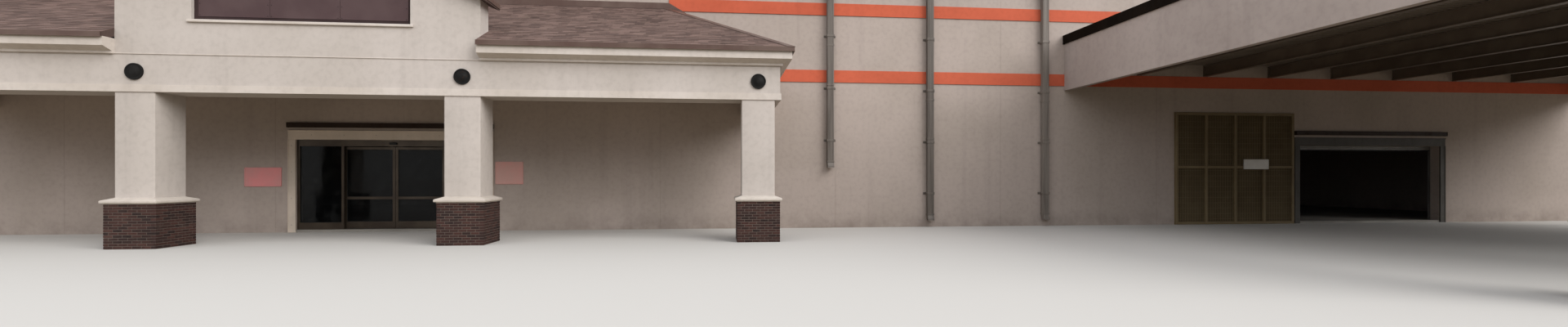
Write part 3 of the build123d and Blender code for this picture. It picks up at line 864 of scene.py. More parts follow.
def brick_base(side, height):
    """Running bond round one base, turned the other way on each second course, and the faces of each brick."""
    course = height / BRICK_COURSES
    module = (side - BRICK_DEPTH) / BRICKS_A_SIDE
    half = side / 2
    brick = eased((-half, -half, MORTAR), (-half + module - MORTAR, -half + BRICK_DEPTH, course),
                  CRISP, edges(y=-half))
    faces_each = len(brick.data.polygons)
    ring = quarter_turns(row(brick, BRICKS_A_SIDE, (module, 0, 0)))
    turned = moved(mirrored(ring), (0, 0, course))
    return row(join([ring, turned]), BRICK_COURSES // 2, (0, 0, 2 * course)), faces_each


def mortar_core(side, height):
    """Raked mortar behind the brick faces."""
    return bevel(post(side / 2 - MORTAR_RECESS, 0, height - MORTAR_RECESS), MORTAR_RECESS, edges(UP))


def cast_cap(side, height, shaft):
    """A cap with a bed mould, a drip edge and a wash that slopes down from the shaft."""
    cap = post(side / 2, CAP_BED, CAP_EDGE)
    extrude(cap, facing(UP), (0, 0, height - CAP_EDGE), (shaft / side, shaft / side, 1), ORIGIN)
    bevel(cap, ROUND, lambda middle, line: middle.z < height - ROUND, 2)
    return join([cap, bevel(post(side / 2 - 2 * CAP_BED, 0, CAP_BED), SOFT, edges(UP))])


def make_columns():
    canopy_line = column_row(SHAFTS[-1])[0][0][1]
    shaft_side = column_row(SHAFTS[0])[1]
    base_low, base_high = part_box("column_bases")
    cap_low, cap_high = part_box("column_caps")
    base_side = 2 * (canopy_line - base_low.y)
    bricks, faces_each = brick_base(base_side, base_high.z)
    finished(random_tones(at_columns(bricks), faces_each), "brick_bases", "brick", replaced=["column_bases"])
    finished(at_columns(mortar_core(base_side, base_high.z)), "base_mortar", "mortar")
    cap = cast_cap(2 * (canopy_line - cap_low.y), cap_high.z - cap_low.z, shaft_side)
    finished(smooth(at_columns(cap, cap_low.z)), "cast_caps", "cap_stone", replaced=["column_caps"])
    for node in SHAFTS:
        low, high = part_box(node)
        shaft = bevel(post(shaft_side / 2, 0, high.z - low.z), SHAFT_ARRIS, edges(UP), 3)
        finished(smooth(at_columns(shaft, low.z, [node])), node + "_stucco", "pale_stucco", replaced=[node])


# Tower: medallions, blank panel, bead and sill

DISC_SIDES = 40
DISC_CREASE = 40
RIM_STEPS = (
    (0.010, 0.0), (0.003, -0.005), (0.016, 0.0), (0.004, 0.004), (0.034, 0.003), (0.004, 0.004), (0.008, 0.002),
)
PANEL_SHEETS = 3
PANEL_BORDER = 0.038
PANEL_REBATE = 0.012
PANEL_JOINT = 0.004
SHEET_FROM_LOW = Vector((0.044, 0.003, 0.044))
SHEET_FROM_HIGH = Vector((0.044, 0.006, 0.044))
SCREW_INSET = 0.020
SCREWS_UP = 4
SILL_SLOPE = 0.012
BEAD = 0.010


def make_medallions():
    """A turned disc on each column's axis, with a rim, a dish and a boss."""
    low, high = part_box("medallions")
    height = (high.z + low.z) / 2
    disc = round_bar((0, high.y, height), (0, low.y, height), (high.z - low.z) / 2, DISC_SIDES)
    inset(disc, facing(FRONT), *RIM_STEPS)
    discs = copies(smooth(disc, DISC_CREASE), [(x, 0, 0) for x, _ in column_row(SHAFTS[0])[0]])
    finished(discs, "turned_medallions", "iron", ["medallions"])


def make_gable_panel():
    """A blank panel of three sheets, screwed into a thin frame."""
    low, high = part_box("gable_panel")
    rim = inset(block(low, high), facing(FRONT), (PANEL_BORDER, 0.0), (CRISP, -PANEL_REBATE))
    bevel(rim, CRISP, edges(y=low.y))
    low, high = low + SHEET_FROM_LOW, high - SHEET_FROM_HIGH
    width = (high.x - low.x + PANEL_JOINT) / PANEL_SHEETS
    sheet = eased(low, (low.x + width - PANEL_JOINT, high.y, high.z), FINE, edges(y=low.y))
    margins = (SCREW_INSET, width - PANEL_JOINT - SCREW_INSET)
    across = [low.x + number * width + margin for number in range(PANEL_SHEETS) for margin in margins]
    places = upright_grid(across, low.y, spread(low.z + SCREW_INSET, high.z - SCREW_INSET, SCREWS_UP))
    finished(row(sheet, PANEL_SHEETS, (width, 0, 0)), "blank_gable_panel", "panel_paint", replaced=["gable_panel"])
    # The frame's darker paint is partly painted shade along the panel's edges
    finished(rim, "panel_frame", "frame_paint")
    finished(screws(places), "panel_screws", "iron")


def make_tower_bead():
    """A slim stucco bead over the joint between the tower's wall and its beam."""
    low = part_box("gable_wall")[0]
    bead = eased((low.x, low.y - BEAD, low.z), (-low.x, low.y + BEAD, low.z + BEAD), BEAD / 4, edges(RIGHT), 2)
    finished(bead, "tower_bead", "trim_stucco")


def make_gable_sill():
    low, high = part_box("gable_sill")
    sill = shift(block(low, high), edges(RIGHT, y=low.y, z=high.z), (0, 0, -SILL_SLOPE))
    finished(bevel(sill, SOFT, steps=2), "sloped_sill", "trim_stucco", replaced=["gable_sill"])


# Sheet metal copings on the parapet and on the canopy

COPING_LIP = 0.005
COPING_LIP_HEIGHT = 0.010
COPING_FALL = 0.010
COPING_SHEET = 1.500
JOINT_COVER = 0.060
COVER_LIFT = 0.002


def coping_profile(length, width, height):
    """A coping along X, from its outer edge at Y = 0 inwards: a top that falls inwards and hemmed drip edges."""
    cap = block((0, COPING_LIP, 0), (length, width - COPING_LIP, height))
    shift(cap, edges(RIGHT, y=width - COPING_LIP, z=height), (0, 0, -COPING_FALL))
    bevel(cap, COPING_LIP / 2, lambda middle, line: middle.z > height / 2 and abs(line.x) > MOSTLY, 2)
    lips = [eased((0, near, 0), (length, near + 2 * COPING_LIP, COPING_LIP_HEIGHT), COPING_LIP / 3, edges(RIGHT))
            for near in (0, width - 2 * COPING_LIP)]
    return join([cap] + lips)


def coping_run(start, end, width, height, at_start=True, at_end=True):
    """A straight run with covers over its joints, its inner side on its left, mitred where asked for."""
    line = Vector(end) - Vector(start)
    sheets = round(line.length / COPING_SHEET)
    run = moved(coping_profile(line.length, width - 2 * COVER_LIFT, height - COVER_LIFT), (0, COVER_LIFT, 0))
    cover = coping_profile(JOINT_COVER, width, height)
    covers = copies(cover, [(number * line.length / sheets, 0, 0) for number in range(1, sheets)])
    return lay(cut(join([run, covers]), *mitres(line.length, at_start, at_end)), start, line, UP)


def make_wall_coping():
    low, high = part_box("wall_coping")
    wall_low, wall_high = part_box("front_wall_left")
    width = wall_high.y - low.y + wall_low.y - low.y
    runs = [coping_run(start, end, width, high.z - low.z) for start, end in all_round(corners(low, high, low.z))]
    finished(join(runs), "sheet_coping", "coping_metal", replaced=["wall_coping"])


def make_canopy_coping():
    """Copings on three sides of the canopy, from the wall round the front and back to the wall."""
    low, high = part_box("canopy_coping")
    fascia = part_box("canopy_fascia")[0]
    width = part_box("canopy_deck")[0].x - fascia.x + 2 * (fascia.x - low.x)
    front_left, front_right, back_right, back_left = corners(low, high, low.z)
    runs = [
        coping_run(back_left, front_left, width, high.z - low.z, at_start=False),
        coping_run(front_left, front_right, width, high.z - low.z),
        coping_run(front_right, back_right, width, high.z - low.z, at_end=False),
    ]
    finished(join(runs), "canopy_sheet_coping", "edge_metal", replaced=["canopy_coping"])


# Flat roofs: membrane seams, cant strips and the canopy's ribbed deck

SEAM_SPACING = 1.000
SEAM_WIDTH = 0.045
SEAM_HEIGHT = 0.004
CANT = 0.060
UPSTAND = 0.120
UPSTAND_THICKNESS = 0.006
UPSTAND_BAR = 0.020
DECK_PLATE = 0.035
RIB_SPACING = 0.075
RIB_WIDTH = 0.040
RIB_TAPER = 0.008


def seams(low, high):
    """Welded seams across a flat roof."""
    end = low.x + SEAM_SPACING
    top = high.z + SEAM_HEIGHT
    seam = eased((end - SEAM_WIDTH, low.y, high.z - NEAR), (end, high.y, top), SEAM_HEIGHT / 2, edges(BACK, z=top))
    return row(seam, int((high.x - low.x) / SEAM_SPACING), (SEAM_SPACING, 0, 0))


def cant_run(start, end):
    """Cant strip, upstand and bar along a parapet, the roof on its left, mitred at both ends."""
    line = Vector(end) - Vector(start)
    strip = block(ORIGIN, (line.length, CANT, CANT))
    shift(strip, edges(RIGHT, y=CANT, z=CANT), (0, UPSTAND_THICKNESS - CANT, 0))
    sheet = block(ORIGIN, (line.length, UPSTAND_THICKNESS, UPSTAND))
    bar = eased((0, 0, UPSTAND - UPSTAND_BAR), (line.length, 2 * UPSTAND_THICKNESS, UPSTAND), FINE, edges(RIGHT))
    return lay(cut(join([strip, sheet, bar]), *mitres(line.length)), start, line, UP)


def seams_and_cants(low, high):
    """What lies on a flat roof, with cant strips on all four sides."""
    return [seams(low, high)] + [cant_run(start, end) for start, end in all_round(corners(low, high, high.z))]


def make_flat_roofs():
    finished(join(seams_and_cants(*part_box("roof_deck"))), "roof_seams", "flat_roofing")
    low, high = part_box("canopy_deck")
    plate_bottom = high.z - DECK_PLATE
    plate = eased((low.x, low.y, plate_bottom), high, SOFT, edges(z=high.z))
    deck = join([plate] + seams_and_cants(low, high))
    finished(deck, "canopy_membrane", "flat_roofing", replaced=["canopy_deck"])
    rib = block(low, (high.x, low.y + RIB_WIDTH, plate_bottom))
    for y, move in ((low.y, RIB_TAPER), (low.y + RIB_WIDTH, -RIB_TAPER)):
        shift(rib, edges(RIGHT, y=y, z=low.z), (0, move, 0))
    row(rib, int((high.y - low.y) / RIB_SPACING), (0, RIB_SPACING, 0))
    finished(rib, "canopy_deck_ribs", "canopy_deck_metal")


# Canopy steel: stiffeners and bearing plates over the columns, clips and seats at the joists

PLATE = 0.008
BEARING_HALF = 0.130
BEARING_REACH = 0.020
STIFFENER_OFFSET = 0.060
STIFFENER_INSET = 0.004
GIRDER_FLANGE = 0.016
BOLT_OFFSET = 0.102
BOLT_REACH = 0.010
JOISTS = 9
JOIST_WIDTH = 0.100
CLIP = (0.035, 0.050, 0.018)
SEAT = (0.045, 0.012, 0.020)
NUT_HEIGHT = 0.012


def make_canopy_plates():
    low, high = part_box("canopy_girder")
    middle = (low.y + high.y) / 2
    columns = [x for x, _ in column_row("canopy_column_shafts")[0]]
    pieces = []
    for x in columns:
        pieces.append(eased((x - BEARING_HALF, low.y - BEARING_REACH, low.z - PLATE / 2),
                            (x + BEARING_HALF, high.y + BEARING_REACH, low.z + PLATE), FINE))
        for line in (x - STIFFENER_OFFSET, x + STIFFENER_OFFSET):
            pieces.append(eased((line - PLATE / 2, low.y + STIFFENER_INSET, low.z + GIRDER_FLANGE),
                                (line + PLATE / 2, high.y - STIFFENER_INSET, high.z - GIRDER_FLANGE), HAIR))
    low_joist, high_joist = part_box("canopy_joists")
    clip_half, clip_reach, clip_height = CLIP
    seat_half, seat_depth, seat_drop = SEAT
    for x in spread(low_joist.x + JOIST_WIDTH / 2, high_joist.x - JOIST_WIDTH / 2, JOISTS):
        pieces.append(eased((x - clip_half, middle - clip_reach, low_joist.z),
                            (x + clip_half, middle + clip_reach, low_joist.z + clip_height), CRISP))
        pieces.append(eased((x - seat_half, high_joist.y - seat_depth, low_joist.z - seat_drop),
                            (x + seat_half, high_joist.y, high_joist.z), FINE))
    finished(join(pieces), "canopy_plates", "canopy_steel")
    nut = inset(round_bar(ORIGIN, (0, 0, NUT_HEIGHT), WASHER_RADIUS, HEXAGON), facing(UP), (FINE, HAIR))
    across = [x + offset for x in columns for offset in (-BOLT_OFFSET, BOLT_OFFSET)]
    places = upright_grid(across, low.y - BOLT_REACH, [low.z + PLATE])
    finished(copies(nut, places), "canopy_bolts", "bolt_steel")


# Portico ceiling in panels

CEILING_PANELS = (18, 3)
CEILING_JOINT = 0.006
CEILING_FACE = 0.012
CEILING_PANEL = 0.014


def make_ceiling():
    low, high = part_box("portico_ceiling")
    step_x, step_y = [(high[axis] - low[axis]) / CEILING_PANELS[axis] for axis in (0, 1)]
    half = CEILING_JOINT / 2
    backing = eased((low.x, low.y, low.z + CEILING_FACE), high, HAIR)
    panel = eased((low.x + half, low.y + half, low.z),
                  (low.x + step_x - half, low.y + step_y - half, low.z + CEILING_PANEL), SOFT, edges(z=low.z))
    row(panel, CEILING_PANELS[0], (step_x, 0, 0))
    row(panel, CEILING_PANELS[1], (0, step_y, 0))
    finished(join([backing, panel]), "ceiling_panels", "pale_stucco", replaced=["portico_ceiling"])


# Openings: surrounds and header rails

SURROUND_WIDTH = 0.110
SURROUND_HEIGHT = 0.150
SURROUND_BEAD = 0.018
JAMB_BEAD_PROUD = 0.006
HEAD_BEAD_PROUD = 0.010
RAIL_END = 0.010
RAIL_END_LAP = 0.006
RAIL_SETBACK = 0.003
RAIL_SHADOW = 0.004
RAIL_LIP = (0.012, 0.014)
JAMB_SCREWS = (0.12, 1.38, 4)
HEAD_SCREWS = 6


def openings():
    """Centre and half width of the clear width of each opening."""
    boxes = [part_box(node) for node in ("wall_over_entrance", "wall_over_shutter")]
    return [((low.x + high.x) / 2, (high.x - low.x) / 2) for low, high in boxes]


def surround(centre, half, low, high):
    """Sheet metal trim on three sides of an opening, with a raised bead along its outer edge."""
    left, right = centre - half - SURROUND_WIDTH, centre + half + SURROUND_WIDTH
    opening_top = high.z - SURROUND_HEIGHT
    pieces = [
        eased((left, low.y, opening_top), (right, high.y, high.z), CRISP, edges(y=low.y)),
        eased((left, low.y - HEAD_BEAD_PROUD, high.z - SURROUND_BEAD), (right, low.y + FINE, high.z),
              SOFT, edges(RIGHT), 2),
    ]
    for start, bead in ((left, left), (right - SURROUND_WIDTH, right - SURROUND_BEAD)):
        pieces.append(eased((start, low.y, 0), (start + SURROUND_WIDTH, high.y, opening_top + NEAR),
                            CRISP, edges(y=low.y)))
        pieces.append(eased((bead, low.y - JAMB_BEAD_PROUD, 0), (bead + SURROUND_BEAD, low.y + FINE, opening_top),
                            CRISP, edges(UP), 2))
    return join(pieces)


def header_rail(centre, half, low, high):
    """A boxed rail with end caps, a shadow groove and a drip lip."""
    left, right = centre - half - SURROUND_WIDTH, centre + half + SURROUND_WIDTH
    start, end = left + RAIL_END_LAP, right - RAIL_END_LAP
    face = low.y + RAIL_SETBACK
    lip_depth, lip_height = RAIL_LIP
    return join([
        eased((start, face, low.z + RAIL_SHADOW), (end, high.y, high.z), ROUND, edges(RIGHT, y=face), 2),
        eased((start, low.y, low.z), (end, low.y + lip_depth, low.z + lip_height), FINE, edges(RIGHT)),
        eased((left, low.y, low.z), (left + RAIL_END, high.y, high.z), FINE),
        eased((right - RAIL_END, low.y, low.z), (right, high.y, high.z), FINE),
    ])


def make_opening_trims():
    low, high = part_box("opening_surrounds")
    entrance, shutter = [surround(centre, half, low, high) for centre, half in openings()]
    finished(entrance, "entrance_trims", "header_paint", replaced=["opening_surrounds"])
    # The shutter's surround is the entrance's trim in a darker grey: partly its paint, partly painted shade of the
    # canopy over it
    finished(shutter, "shutter_trims", "shutter_trim_paint")
    rails = [header_rail(centre, half, *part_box("header_rails")) for centre, half in openings()]
    # The rails' near-black brown is partly painted shade for the shadow line over each header
    finished(join(rails), "boxed_rails", "black_metal", replaced=["header_rails"])
    places = []
    for centre, half in openings():
        reach = half + SURROUND_WIDTH / 2
        places += upright_grid((centre - reach, centre + reach), low.y, spread(*JAMB_SCREWS))
        reach = half * (HEAD_SCREWS - 1) / HEAD_SCREWS
        across = spread(centre - reach, centre + reach, HEAD_SCREWS)
        places += upright_grid(across, low.y, [high.z - SURROUND_HEIGHT / 2])
    finished(screws(places), "trim_screws", "bolt_steel")


# Sliding doors: glazing gaskets, brush strips, sensor and threshold

GASKET = 0.006
GASKET_PROUD = Vector((0, 0.004, 0))
LEAF_PANES = ((0.158, 0.520), (0.560, 1.325))
SIDELIGHT_PANE = 0.620
BRUSH_FROM_LOW = Vector((0.010, 0.010, -0.004))
BRUSH_FROM_FOOT = Vector((-0.010, -0.006, 0.002))
SILL_FRONT = 0.020
SILL_BACK = 0.030
SILL_HEIGHT = 0.004
SILL_GROOVES = 8
GROOVE_SPACING = 0.010
GROOVE = (0.012, 0.008, 0.003, 0.006)
SENSOR = (0.055, 0.032, 0.075, 0.035)
SENSOR_ROUND = 0.010


def gasket(low, high):
    """A soft bead round a pane, inside its frame, proud of the glass on both sides."""
    low, high = low - GASKET_PROUD, high + GASKET_PROUD
    bars = [
        (low, (high.x, high.y, low.z + GASKET)),
        ((low.x, low.y, high.z - GASKET), high),
        (low, (low.x + GASKET, high.y, high.z)),
        ((high.x - GASKET, low.y, low.z), high),
    ]
    return join([eased(start, end, GASKET / 4) for start, end in bars])


def make_gaskets():
    """Gaskets round every pane, and a brush under each leaf."""
    for leaf in ("left_leaf", "right_leaf"):
        low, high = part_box(leaf + "_glass")
        beads = [gasket(Vector((low.x, low.y, bottom)), Vector((high.x, high.y, top))) for bottom, top in LEAF_PANES]
        finished(join(beads), leaf + "_gaskets", "rubber", body=leaf)
        low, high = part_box(leaf + "_frame")
        foot = Vector((high.x, high.y, low.z))
        brush = eased(low + BRUSH_FROM_LOW, foot + BRUSH_FROM_FOOT, HAIR)
        finished(brush, leaf + "_brush", "rubber", body=leaf)
    low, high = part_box("fixed_glass")
    pane = gasket(low, Vector((low.x + SIDELIGHT_PANE, high.y, high.z)))
    finished(join([pane, mirrored(pane)]), "sidelight_gaskets", "rubber")


def make_door_fittings():
    """A grooved threshold, and a sensor over the leaves."""
    low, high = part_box("door_frame")
    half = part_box("wall_over_entrance")[1].x
    top = low.z + SILL_HEIGHT
    sill = eased((-half, low.y - SILL_FRONT, low.z - NEAR), (half, high.y + SILL_BACK, top), CRISP, edges(RIGHT, z=top))
    front, back, bottom, top = GROOVE
    groove = eased((-half, low.y - front, low.z + bottom), (half, low.y - back, low.z + top), HAIR, edges(RIGHT))
    row(groove, SILL_GROOVES, (0, GROOVE_SPACING, 0))
    finished(join([sill, groove]), "threshold", "bolt_steel")
    half, depth, bottom, top = SENSOR
    eye = block((-half, low.y - depth, high.z - bottom), (half, low.y, high.z - top))
    bevel(eye, SENSOR_ROUND, lambda middle, line: middle.y < low.y - depth + NEAR or abs(line.y) > MOSTLY, 3)
    inset(eye, facing(FRONT), (ROUND, 0.0), (FINE, -CRISP))
    finished(smooth(eye), "door_sensor", "rubber")


# Roller shutter: the coil, its last slats and the bottom bar

COIL_RADIUS = 0.150
COIL_SIDES = 24
COIL_GROOVE = 0.003
SLATS_DOWN = 6
SLAT_HEIGHT = 0.0375
SLAT_THICKNESS = 0.016
SLAT_GAP = 0.002
SLAT_ARRIS = 0.005
SLAT_INSET = 0.012
BAR_INSET = 0.030
BAR_PROUD = 0.003
BAR_BOTTOM = 0.006
BAR_TOP = 0.020
SEAL_INSET = 0.002
SEAL_TOP = 0.007


def make_shutter():
    low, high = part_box("shutter_roll")
    ends = [(x, high.y - COIL_RADIUS, high.z - COIL_RADIUS) for x in (low.x, high.x)]
    coil = round_bar(*ends, COIL_RADIUS - COIL_GROOVE, COIL_SIDES)
    choose(coil, "FACE", lambda middle, normal: abs(normal.x) < 1 - MOSTLY)
    bpy.ops.mesh.inset(thickness=COIL_GROOVE, depth=COIL_GROOVE, use_individual=True)
    done(coil)
    left, right = low.x + SLAT_INSET, high.x - SLAT_INSET
    bottom = low.z + BAR_TOP
    back = low.y + SLAT_THICKNESS
    slat = eased((left, low.y, bottom), (right, back, bottom + SLAT_HEIGHT - SLAT_GAP), SLAT_ARRIS, edges(RIGHT), 2)
    row(slat, SLATS_DOWN, (0, 0, SLAT_HEIGHT))
    finished(smooth(join([coil, slat])), "shutter_slats", "shutter_metal", replaced=["shutter_roll"])
    left, right = left + BAR_INSET, right - BAR_INSET
    bar = eased((left, low.y - BAR_PROUD, low.z + BAR_BOTTOM), (right, back + BAR_PROUD, bottom), FINE)
    finished(bar, "shutter_bottom_bar", "iron")
    seal = eased((left, low.y + SEAL_INSET, low.z), (right, back - SEAL_INSET, low.z + SEAL_TOP), FINE, edges(RIGHT), 2)
    finished(seal, "shutter_seal", "rubber")


# Downspouts with ribs, sleeves, straps, shoes and rain heads: place, foot and tone of each

DOWNSPOUTS = ((7.150, 1.040, 0.70), (8.925, 0.120, 0.55), (11.050, 0.120, 1.0))
PIPE_HALF = 0.060
PIPE_FRONT = -0.115
PIPE_BACK = -0.025
PIPE_RIB = 0.003
PIPE_IN_HEAD = 0.020
RIB = 0.014
RIB_ROUND = 0.8 * PIPE_RIB
FRONT_RIBS = (4, 0.026)
SIDE_RIBS = (3, 0.022)
SIDE_RIB_START = 0.018
SHOE_HEIGHT = 0.090
SHOE_REACH = 0.032
SHOE_HOLLOW = 0.030
SLEEVE = 0.002
SLEEVE_HEIGHT = 0.030
SLEEVE_RISES = (0, 1.32, 2.0)
HEAD_BOTTOM = 4.130
HEAD_HEIGHT = 0.260
HEAD_COLLAR = (0.072, 0.125, 0.025)
FUNNEL_RISE = 0.085
FUNNEL_GROWTH = (1.6, 1.12, 1)
BOX_RISE = 0.110
RIM = (0.130, 0.150, 0.040)
RIM_WALL = 0.014
RIM_HOLLOW = 0.030
RIM_ARRIS = 0.005
HEAD_BEAD = (0.119, 0.144, 0.105, 0.121)
STRAP_HEIGHT = 0.040
STRAP_SPACING = 0.900
STRAP_THICKNESS = 0.005
EAR = (0.105, 0.006)
EAR_BOLT = 0.086


def ribbed_pipe(foot):
    """A square pipe with ribs, whose shoe kicks out and is open below, standing off the plane Y = 0."""
    bottom = foot + SHOE_HEIGHT
    half = PIPE_HALF - PIPE_RIB
    pipe = block((-half, PIPE_FRONT + PIPE_RIB, bottom), (half, PIPE_BACK, HEAD_BOTTOM + PIPE_IN_HEAD))
    extrude(pipe, facing(DOWN), (0, -SHOE_REACH, -SHOE_HEIGHT))
    inset(pipe, facing(DOWN), (SOFT, 0.0), (HAIR, -SHOE_HOLLOW))
    bevel(pipe, ROUND, lambda middle, line: abs(line.z) > MOSTLY and abs(middle.x) > half - NEAR, 2)
    count, step = FRONT_RIBS
    start = -((count - 1) * step + RIB) / 2
    low, high = (start, PIPE_FRONT, bottom), (start + RIB, PIPE_FRONT + 2 * PIPE_RIB, HEAD_BOTTOM)
    ribs = row(eased(low, high, RIB_ROUND, edges(UP)), count, (step, 0, 0))
    count, step = SIDE_RIBS
    start = PIPE_FRONT + SIDE_RIB_START
    low, high = (-PIPE_HALF, start, bottom), (2 * PIPE_RIB - PIPE_HALF, start + RIB, HEAD_BOTTOM)
    side = row(eased(low, high, RIB_ROUND, edges(UP)), count, (0, step, 0))
    sleeve = eased((-PIPE_HALF - SLEEVE, PIPE_FRONT - SLEEVE, bottom),
                   (PIPE_HALF + SLEEVE, PIPE_BACK + SLEEVE, bottom + SLEEVE_HEIGHT), CRISP)
    return join([pipe, ribs, side, mirrored(side), copies(sleeve, [(0, 0, rise) for rise in SLEEVE_RISES])])


def off_wall(half, depth, bottom, top):
    """A block that stands off the plane Y = 0, in the middle of X."""
    return block((-half, -depth, bottom), (half, 0, top))


def rain_head():
    """A funnel that widens to a box with a rolled rim, open at the top, against the plane Y = 0."""
    half, depth, height = HEAD_COLLAR
    head = off_wall(half, depth, HEAD_BOTTOM, HEAD_BOTTOM + height)
    extrude(head, facing(UP), (0, 0, FUNNEL_RISE), FUNNEL_GROWTH, ORIGIN)
    extrude(head, facing(UP), (0, 0, BOX_RISE))
    bevel(head, SOFT, lambda middle, line: middle.y < -NEAR, 2)
    half, depth, height = RIM
    top = HEAD_BOTTOM + HEAD_HEIGHT
    rim = inset(off_wall(half, depth, top - height, top), facing(UP), (RIM_WALL, 0.0), (FINE, -RIM_HOLLOW))
    inner_half, inner_depth = half - RIM_WALL + NEAR, depth - RIM_WALL + NEAR
    bevel(rim, RIM_ARRIS, lambda middle, line: middle.y < -NEAR and abs(middle.x) > inner_half
          or middle.y < -inner_depth, 2)
    half, depth, bottom, top = HEAD_BEAD
    bead = off_wall(half, depth, HEAD_BOTTOM + bottom, HEAD_BOTTOM + top)
    bevel(bead, SOFT, lambda middle, line: middle.y < -NEAR)
    return join([head, rim, bead])


def strap(bottom):
    """A band round the pipe, with an ear on the wall at each side."""
    top = bottom + STRAP_HEIGHT
    band = off_wall(PIPE_HALF + STRAP_THICKNESS, STRAP_THICKNESS - PIPE_FRONT, bottom, top)
    return join([bevel(band, CRISP), bevel(off_wall(*EAR, bottom, top), FINE)])


def make_downspouts():
    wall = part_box("downspouts")[1].y
    pieces = []
    bolt_places = []
    for x, foot, tone in DOWNSPOUTS:
        count = int((HEAD_BOTTOM - foot) / STRAP_SPACING)
        bottoms = [foot + STRAP_SPACING * (number + 0.5) for number in range(count)]
        piece = moved(join([ribbed_pipe(foot), rain_head()] + [strap(bottom) for bottom in bottoms]), (x, wall, 0))
        pieces.append(give_tones(piece, [tone], len(piece.data.polygons)))
        bolt_places += [(place, wall - EAR[1], bottom + STRAP_HEIGHT / 2)
                        for bottom in bottoms for place in (x - EAR_BOLT, x + EAR_BOLT)]
    finished(join(pieces), "ribbed_downspouts", "dark_metal", replaced=["downspouts"])
    finished(bolts(bolt_places), "strap_bolts", "bolt_steel")


# Garden screen and boards

SCREEN_BAYS = 4
SCREEN_BAR = 0.050
RAIL_LAP = 0.020
FOOT_HEIGHT = 0.006
WIRE_SPACING = (0.050, 0.100)
WIRE_RADIUS = 0.0025
WIRE_DEPTH = 0.018
WIRE_SIDES = 6
CLOTH_INSET = 0.025
CLOTH_THICKNESS = 0.010
CLOTH_HEM = 0.030
BOARD_RIM = 0.014
BOARD_SCREW = (0.003, 0.0015)
BOARD_SCREW_INSET = 0.007


def make_garden_screen():
    """A tube frame with welded wire over a dark backing."""
    low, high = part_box("garden_screen")
    width, height = high.x - low.x, high.z - low.z
    step = ((width - SCREEN_BAR) / SCREEN_BAYS, 0, 0)
    tubes = eased(low, (low.x + SCREEN_BAR, high.y, high.z), ROUND, edges(UP), 2)
    row(tubes, SCREEN_BAYS + 1, step)
    left, right = low.x + RAIL_LAP, high.x - RAIL_LAP
    rail = eased((left, low.y + FINE, low.z), (right, high.y, low.z + SCREEN_BAR), ROUND, edges(RIGHT), 2)
    rails = copies(rail, [(0, 0, rise) for rise in (0, height / 2, height - SCREEN_BAR)])
    feet = eased(low, (left + SCREEN_BAR, high.y - SOFT, low.z + FOOT_HEIGHT), FINE)
    row(feet, SCREEN_BAYS, step)
    side_step, up_step = WIRE_SPACING
    wire = low.y + WIRE_DEPTH
    start = low.x + SCREEN_BAR
    upright = round_bar((start, wire, low.z + RAIL_LAP), (start, wire, high.z - RAIL_LAP), WIRE_RADIUS, WIRE_SIDES)
    row(upright, int((width - 2 * SCREEN_BAR) / side_step) + 1, (side_step, 0, 0))
    wire += 2 * WIRE_RADIUS
    start = low.z + up_step
    across = round_bar((left, wire, start), (right, wire, start), WIRE_RADIUS, WIRE_SIDES)
    row(across, int((height - up_step - RAIL_LAP) / up_step), (0, 0, up_step))
    finished(join([tubes, rails, feet, upright, across]), "wire_screen", "screen_mesh", replaced=["garden_screen"])
    backing = block((low.x + CLOTH_INSET, high.y - CLOTH_THICKNESS, low.z + CLOTH_INSET),
                    (high.x - CLOTH_INSET, high.y, high.z - CLOTH_INSET))
    inset(backing, facing(FRONT), (CLOTH_HEM, 0.0), (CRISP, -FINE))
    finished(backing, "screen_backing", "screen_cloth")


def notice_board(low, high):
    """A blank board in a thin raised frame."""
    return bevel(inset(block(low, high), facing(FRONT), (BOARD_RIM, 0.0), (FINE, -SOFT)), FINE, edges(y=low.y))


def make_boards():
    """The two boards on the wall, which share a node, and the one on the screen, screwed at their corners."""
    points = [point.co for point in nodes["wall_boards"].data.vertices]
    boards = []
    for side in (-1, 1):
        mine = [point for point in points if point.x * side > 0]
        boards.append([Vector([extreme(point[axis] for point in mine) for axis in range(3)]) for extreme in (min, max)])
    boards.append(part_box("screen_board"))
    left, right, hung = [notice_board(*board) for board in boards]
    finished(left, "left_board", "red_board", replaced=["wall_boards"])
    finished(right, "right_board", "faded_board")
    finished(hung, "hung_board", "white_board", replaced=["screen_board"])
    places = []
    for low, high in boards:
        across, heights = [(low[axis] + BOARD_SCREW_INSET, high[axis] - BOARD_SCREW_INSET) for axis in (0, 2)]
        places += upright_grid(across, low.y, heights)
    finished(screws(places, *BOARD_SCREW), "board_screws", "bolt_steel")


# Floor and light

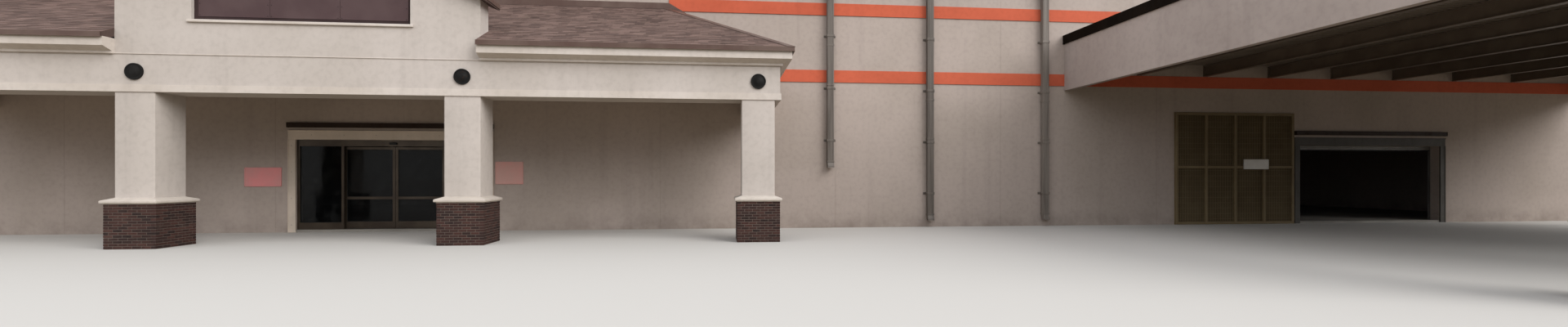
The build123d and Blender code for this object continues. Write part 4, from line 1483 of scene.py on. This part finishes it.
FLOOR_SIZE = 400
FLOOR_COLOUR = (198, 196, 193)
BOUNCE_COLOUR = (148, 138, 122)
SUN_STRENGTH = 2.35
SUN_TURN = 48
SUN_FROM_TOP = 57
SUN_SOFTNESS = 45
SUN_COLOUR = (1.0, 0.97, 0.93)
SKY_COLOUR = (0.97, 0.98, 1.0, 1)
SKY_ACROSS = {"From Min": -0.7, "From Max": 0.9, "To Min": 1.68, "To Max": 1.42}
SKY_STOPS = ((0.0, 0.18), (0.14, 0.44), (0.33, 1.04), (0.60, 0.78), (1.0, 0.46))
BACKDROP_COLOUR = (0.94, 0.94, 0.93, 1)


def lay_floor():
    """A plain floor: near white where it is seen, duller and browner for the light that it throws back."""
    bpy.ops.mesh.primitive_plane_add(size=FLOOR_SIZE, location=ORIGIN)
    floor = bpy.context.object
    floor.name = "floor"
    finish = Finish("floor", roughness=0.9, specular=0.1).put(Base_Color=shade(*FLOOR_COLOUR))
    finish.split(finish.node("ShaderNodeBsdfDiffuse", {"Color": shade(*BOUNCE_COLOUR)}), finish.own)
    floor.data.materials.append(finish.material)


def light_scene():
    """A very soft sun from the front right, and a sky that is brightest a third of the way up, dimmer on the right."""
    world = bpy.data.worlds.new("sky")
    bpy.context.scene.world = world
    sky = Graph(world, "Background")
    height = sky.node("ShaderNodeValToRGB", {0: sky.along("Z", "Generated")}, stops=SKY_STOPS)
    across = sky.node("ShaderNodeMapRange", {"Value": sky.along("X", "Generated"), **SKY_ACROSS})
    sky.put(Color=SKY_COLOUR, Strength=height * across)
    sky.split(sky.own, sky.node("ShaderNodeBackground", {"Color": BACKDROP_COLOUR, "Strength": 1.0}))
    data = bpy.data.lights.new("sun", "SUN")
    data.energy = SUN_STRENGTH
    data.angle = math.radians(SUN_SOFTNESS)
    data.color = SUN_COLOUR
    stand("sun", data, SUN_FROM_TOP, SUN_TURN)


bpy.context.scene.view_settings.view_transform = "Standard"
bpy.ops.object.select_all(action="DESELECT")
place_camera()
finishes = make_finishes()
finish_nodes()
make_roofing()
make_columns()
make_medallions()
make_gable_panel()
make_tower_bead()
make_gable_sill()
make_wall_coping()
make_canopy_coping()
make_flat_roofs()
make_canopy_plates()
make_ceiling()
make_opening_trims()
make_gaskets()
make_door_fittings()
make_shutter()
make_downspouts()
make_garden_screen()
make_boards()
lay_floor()
light_scene()
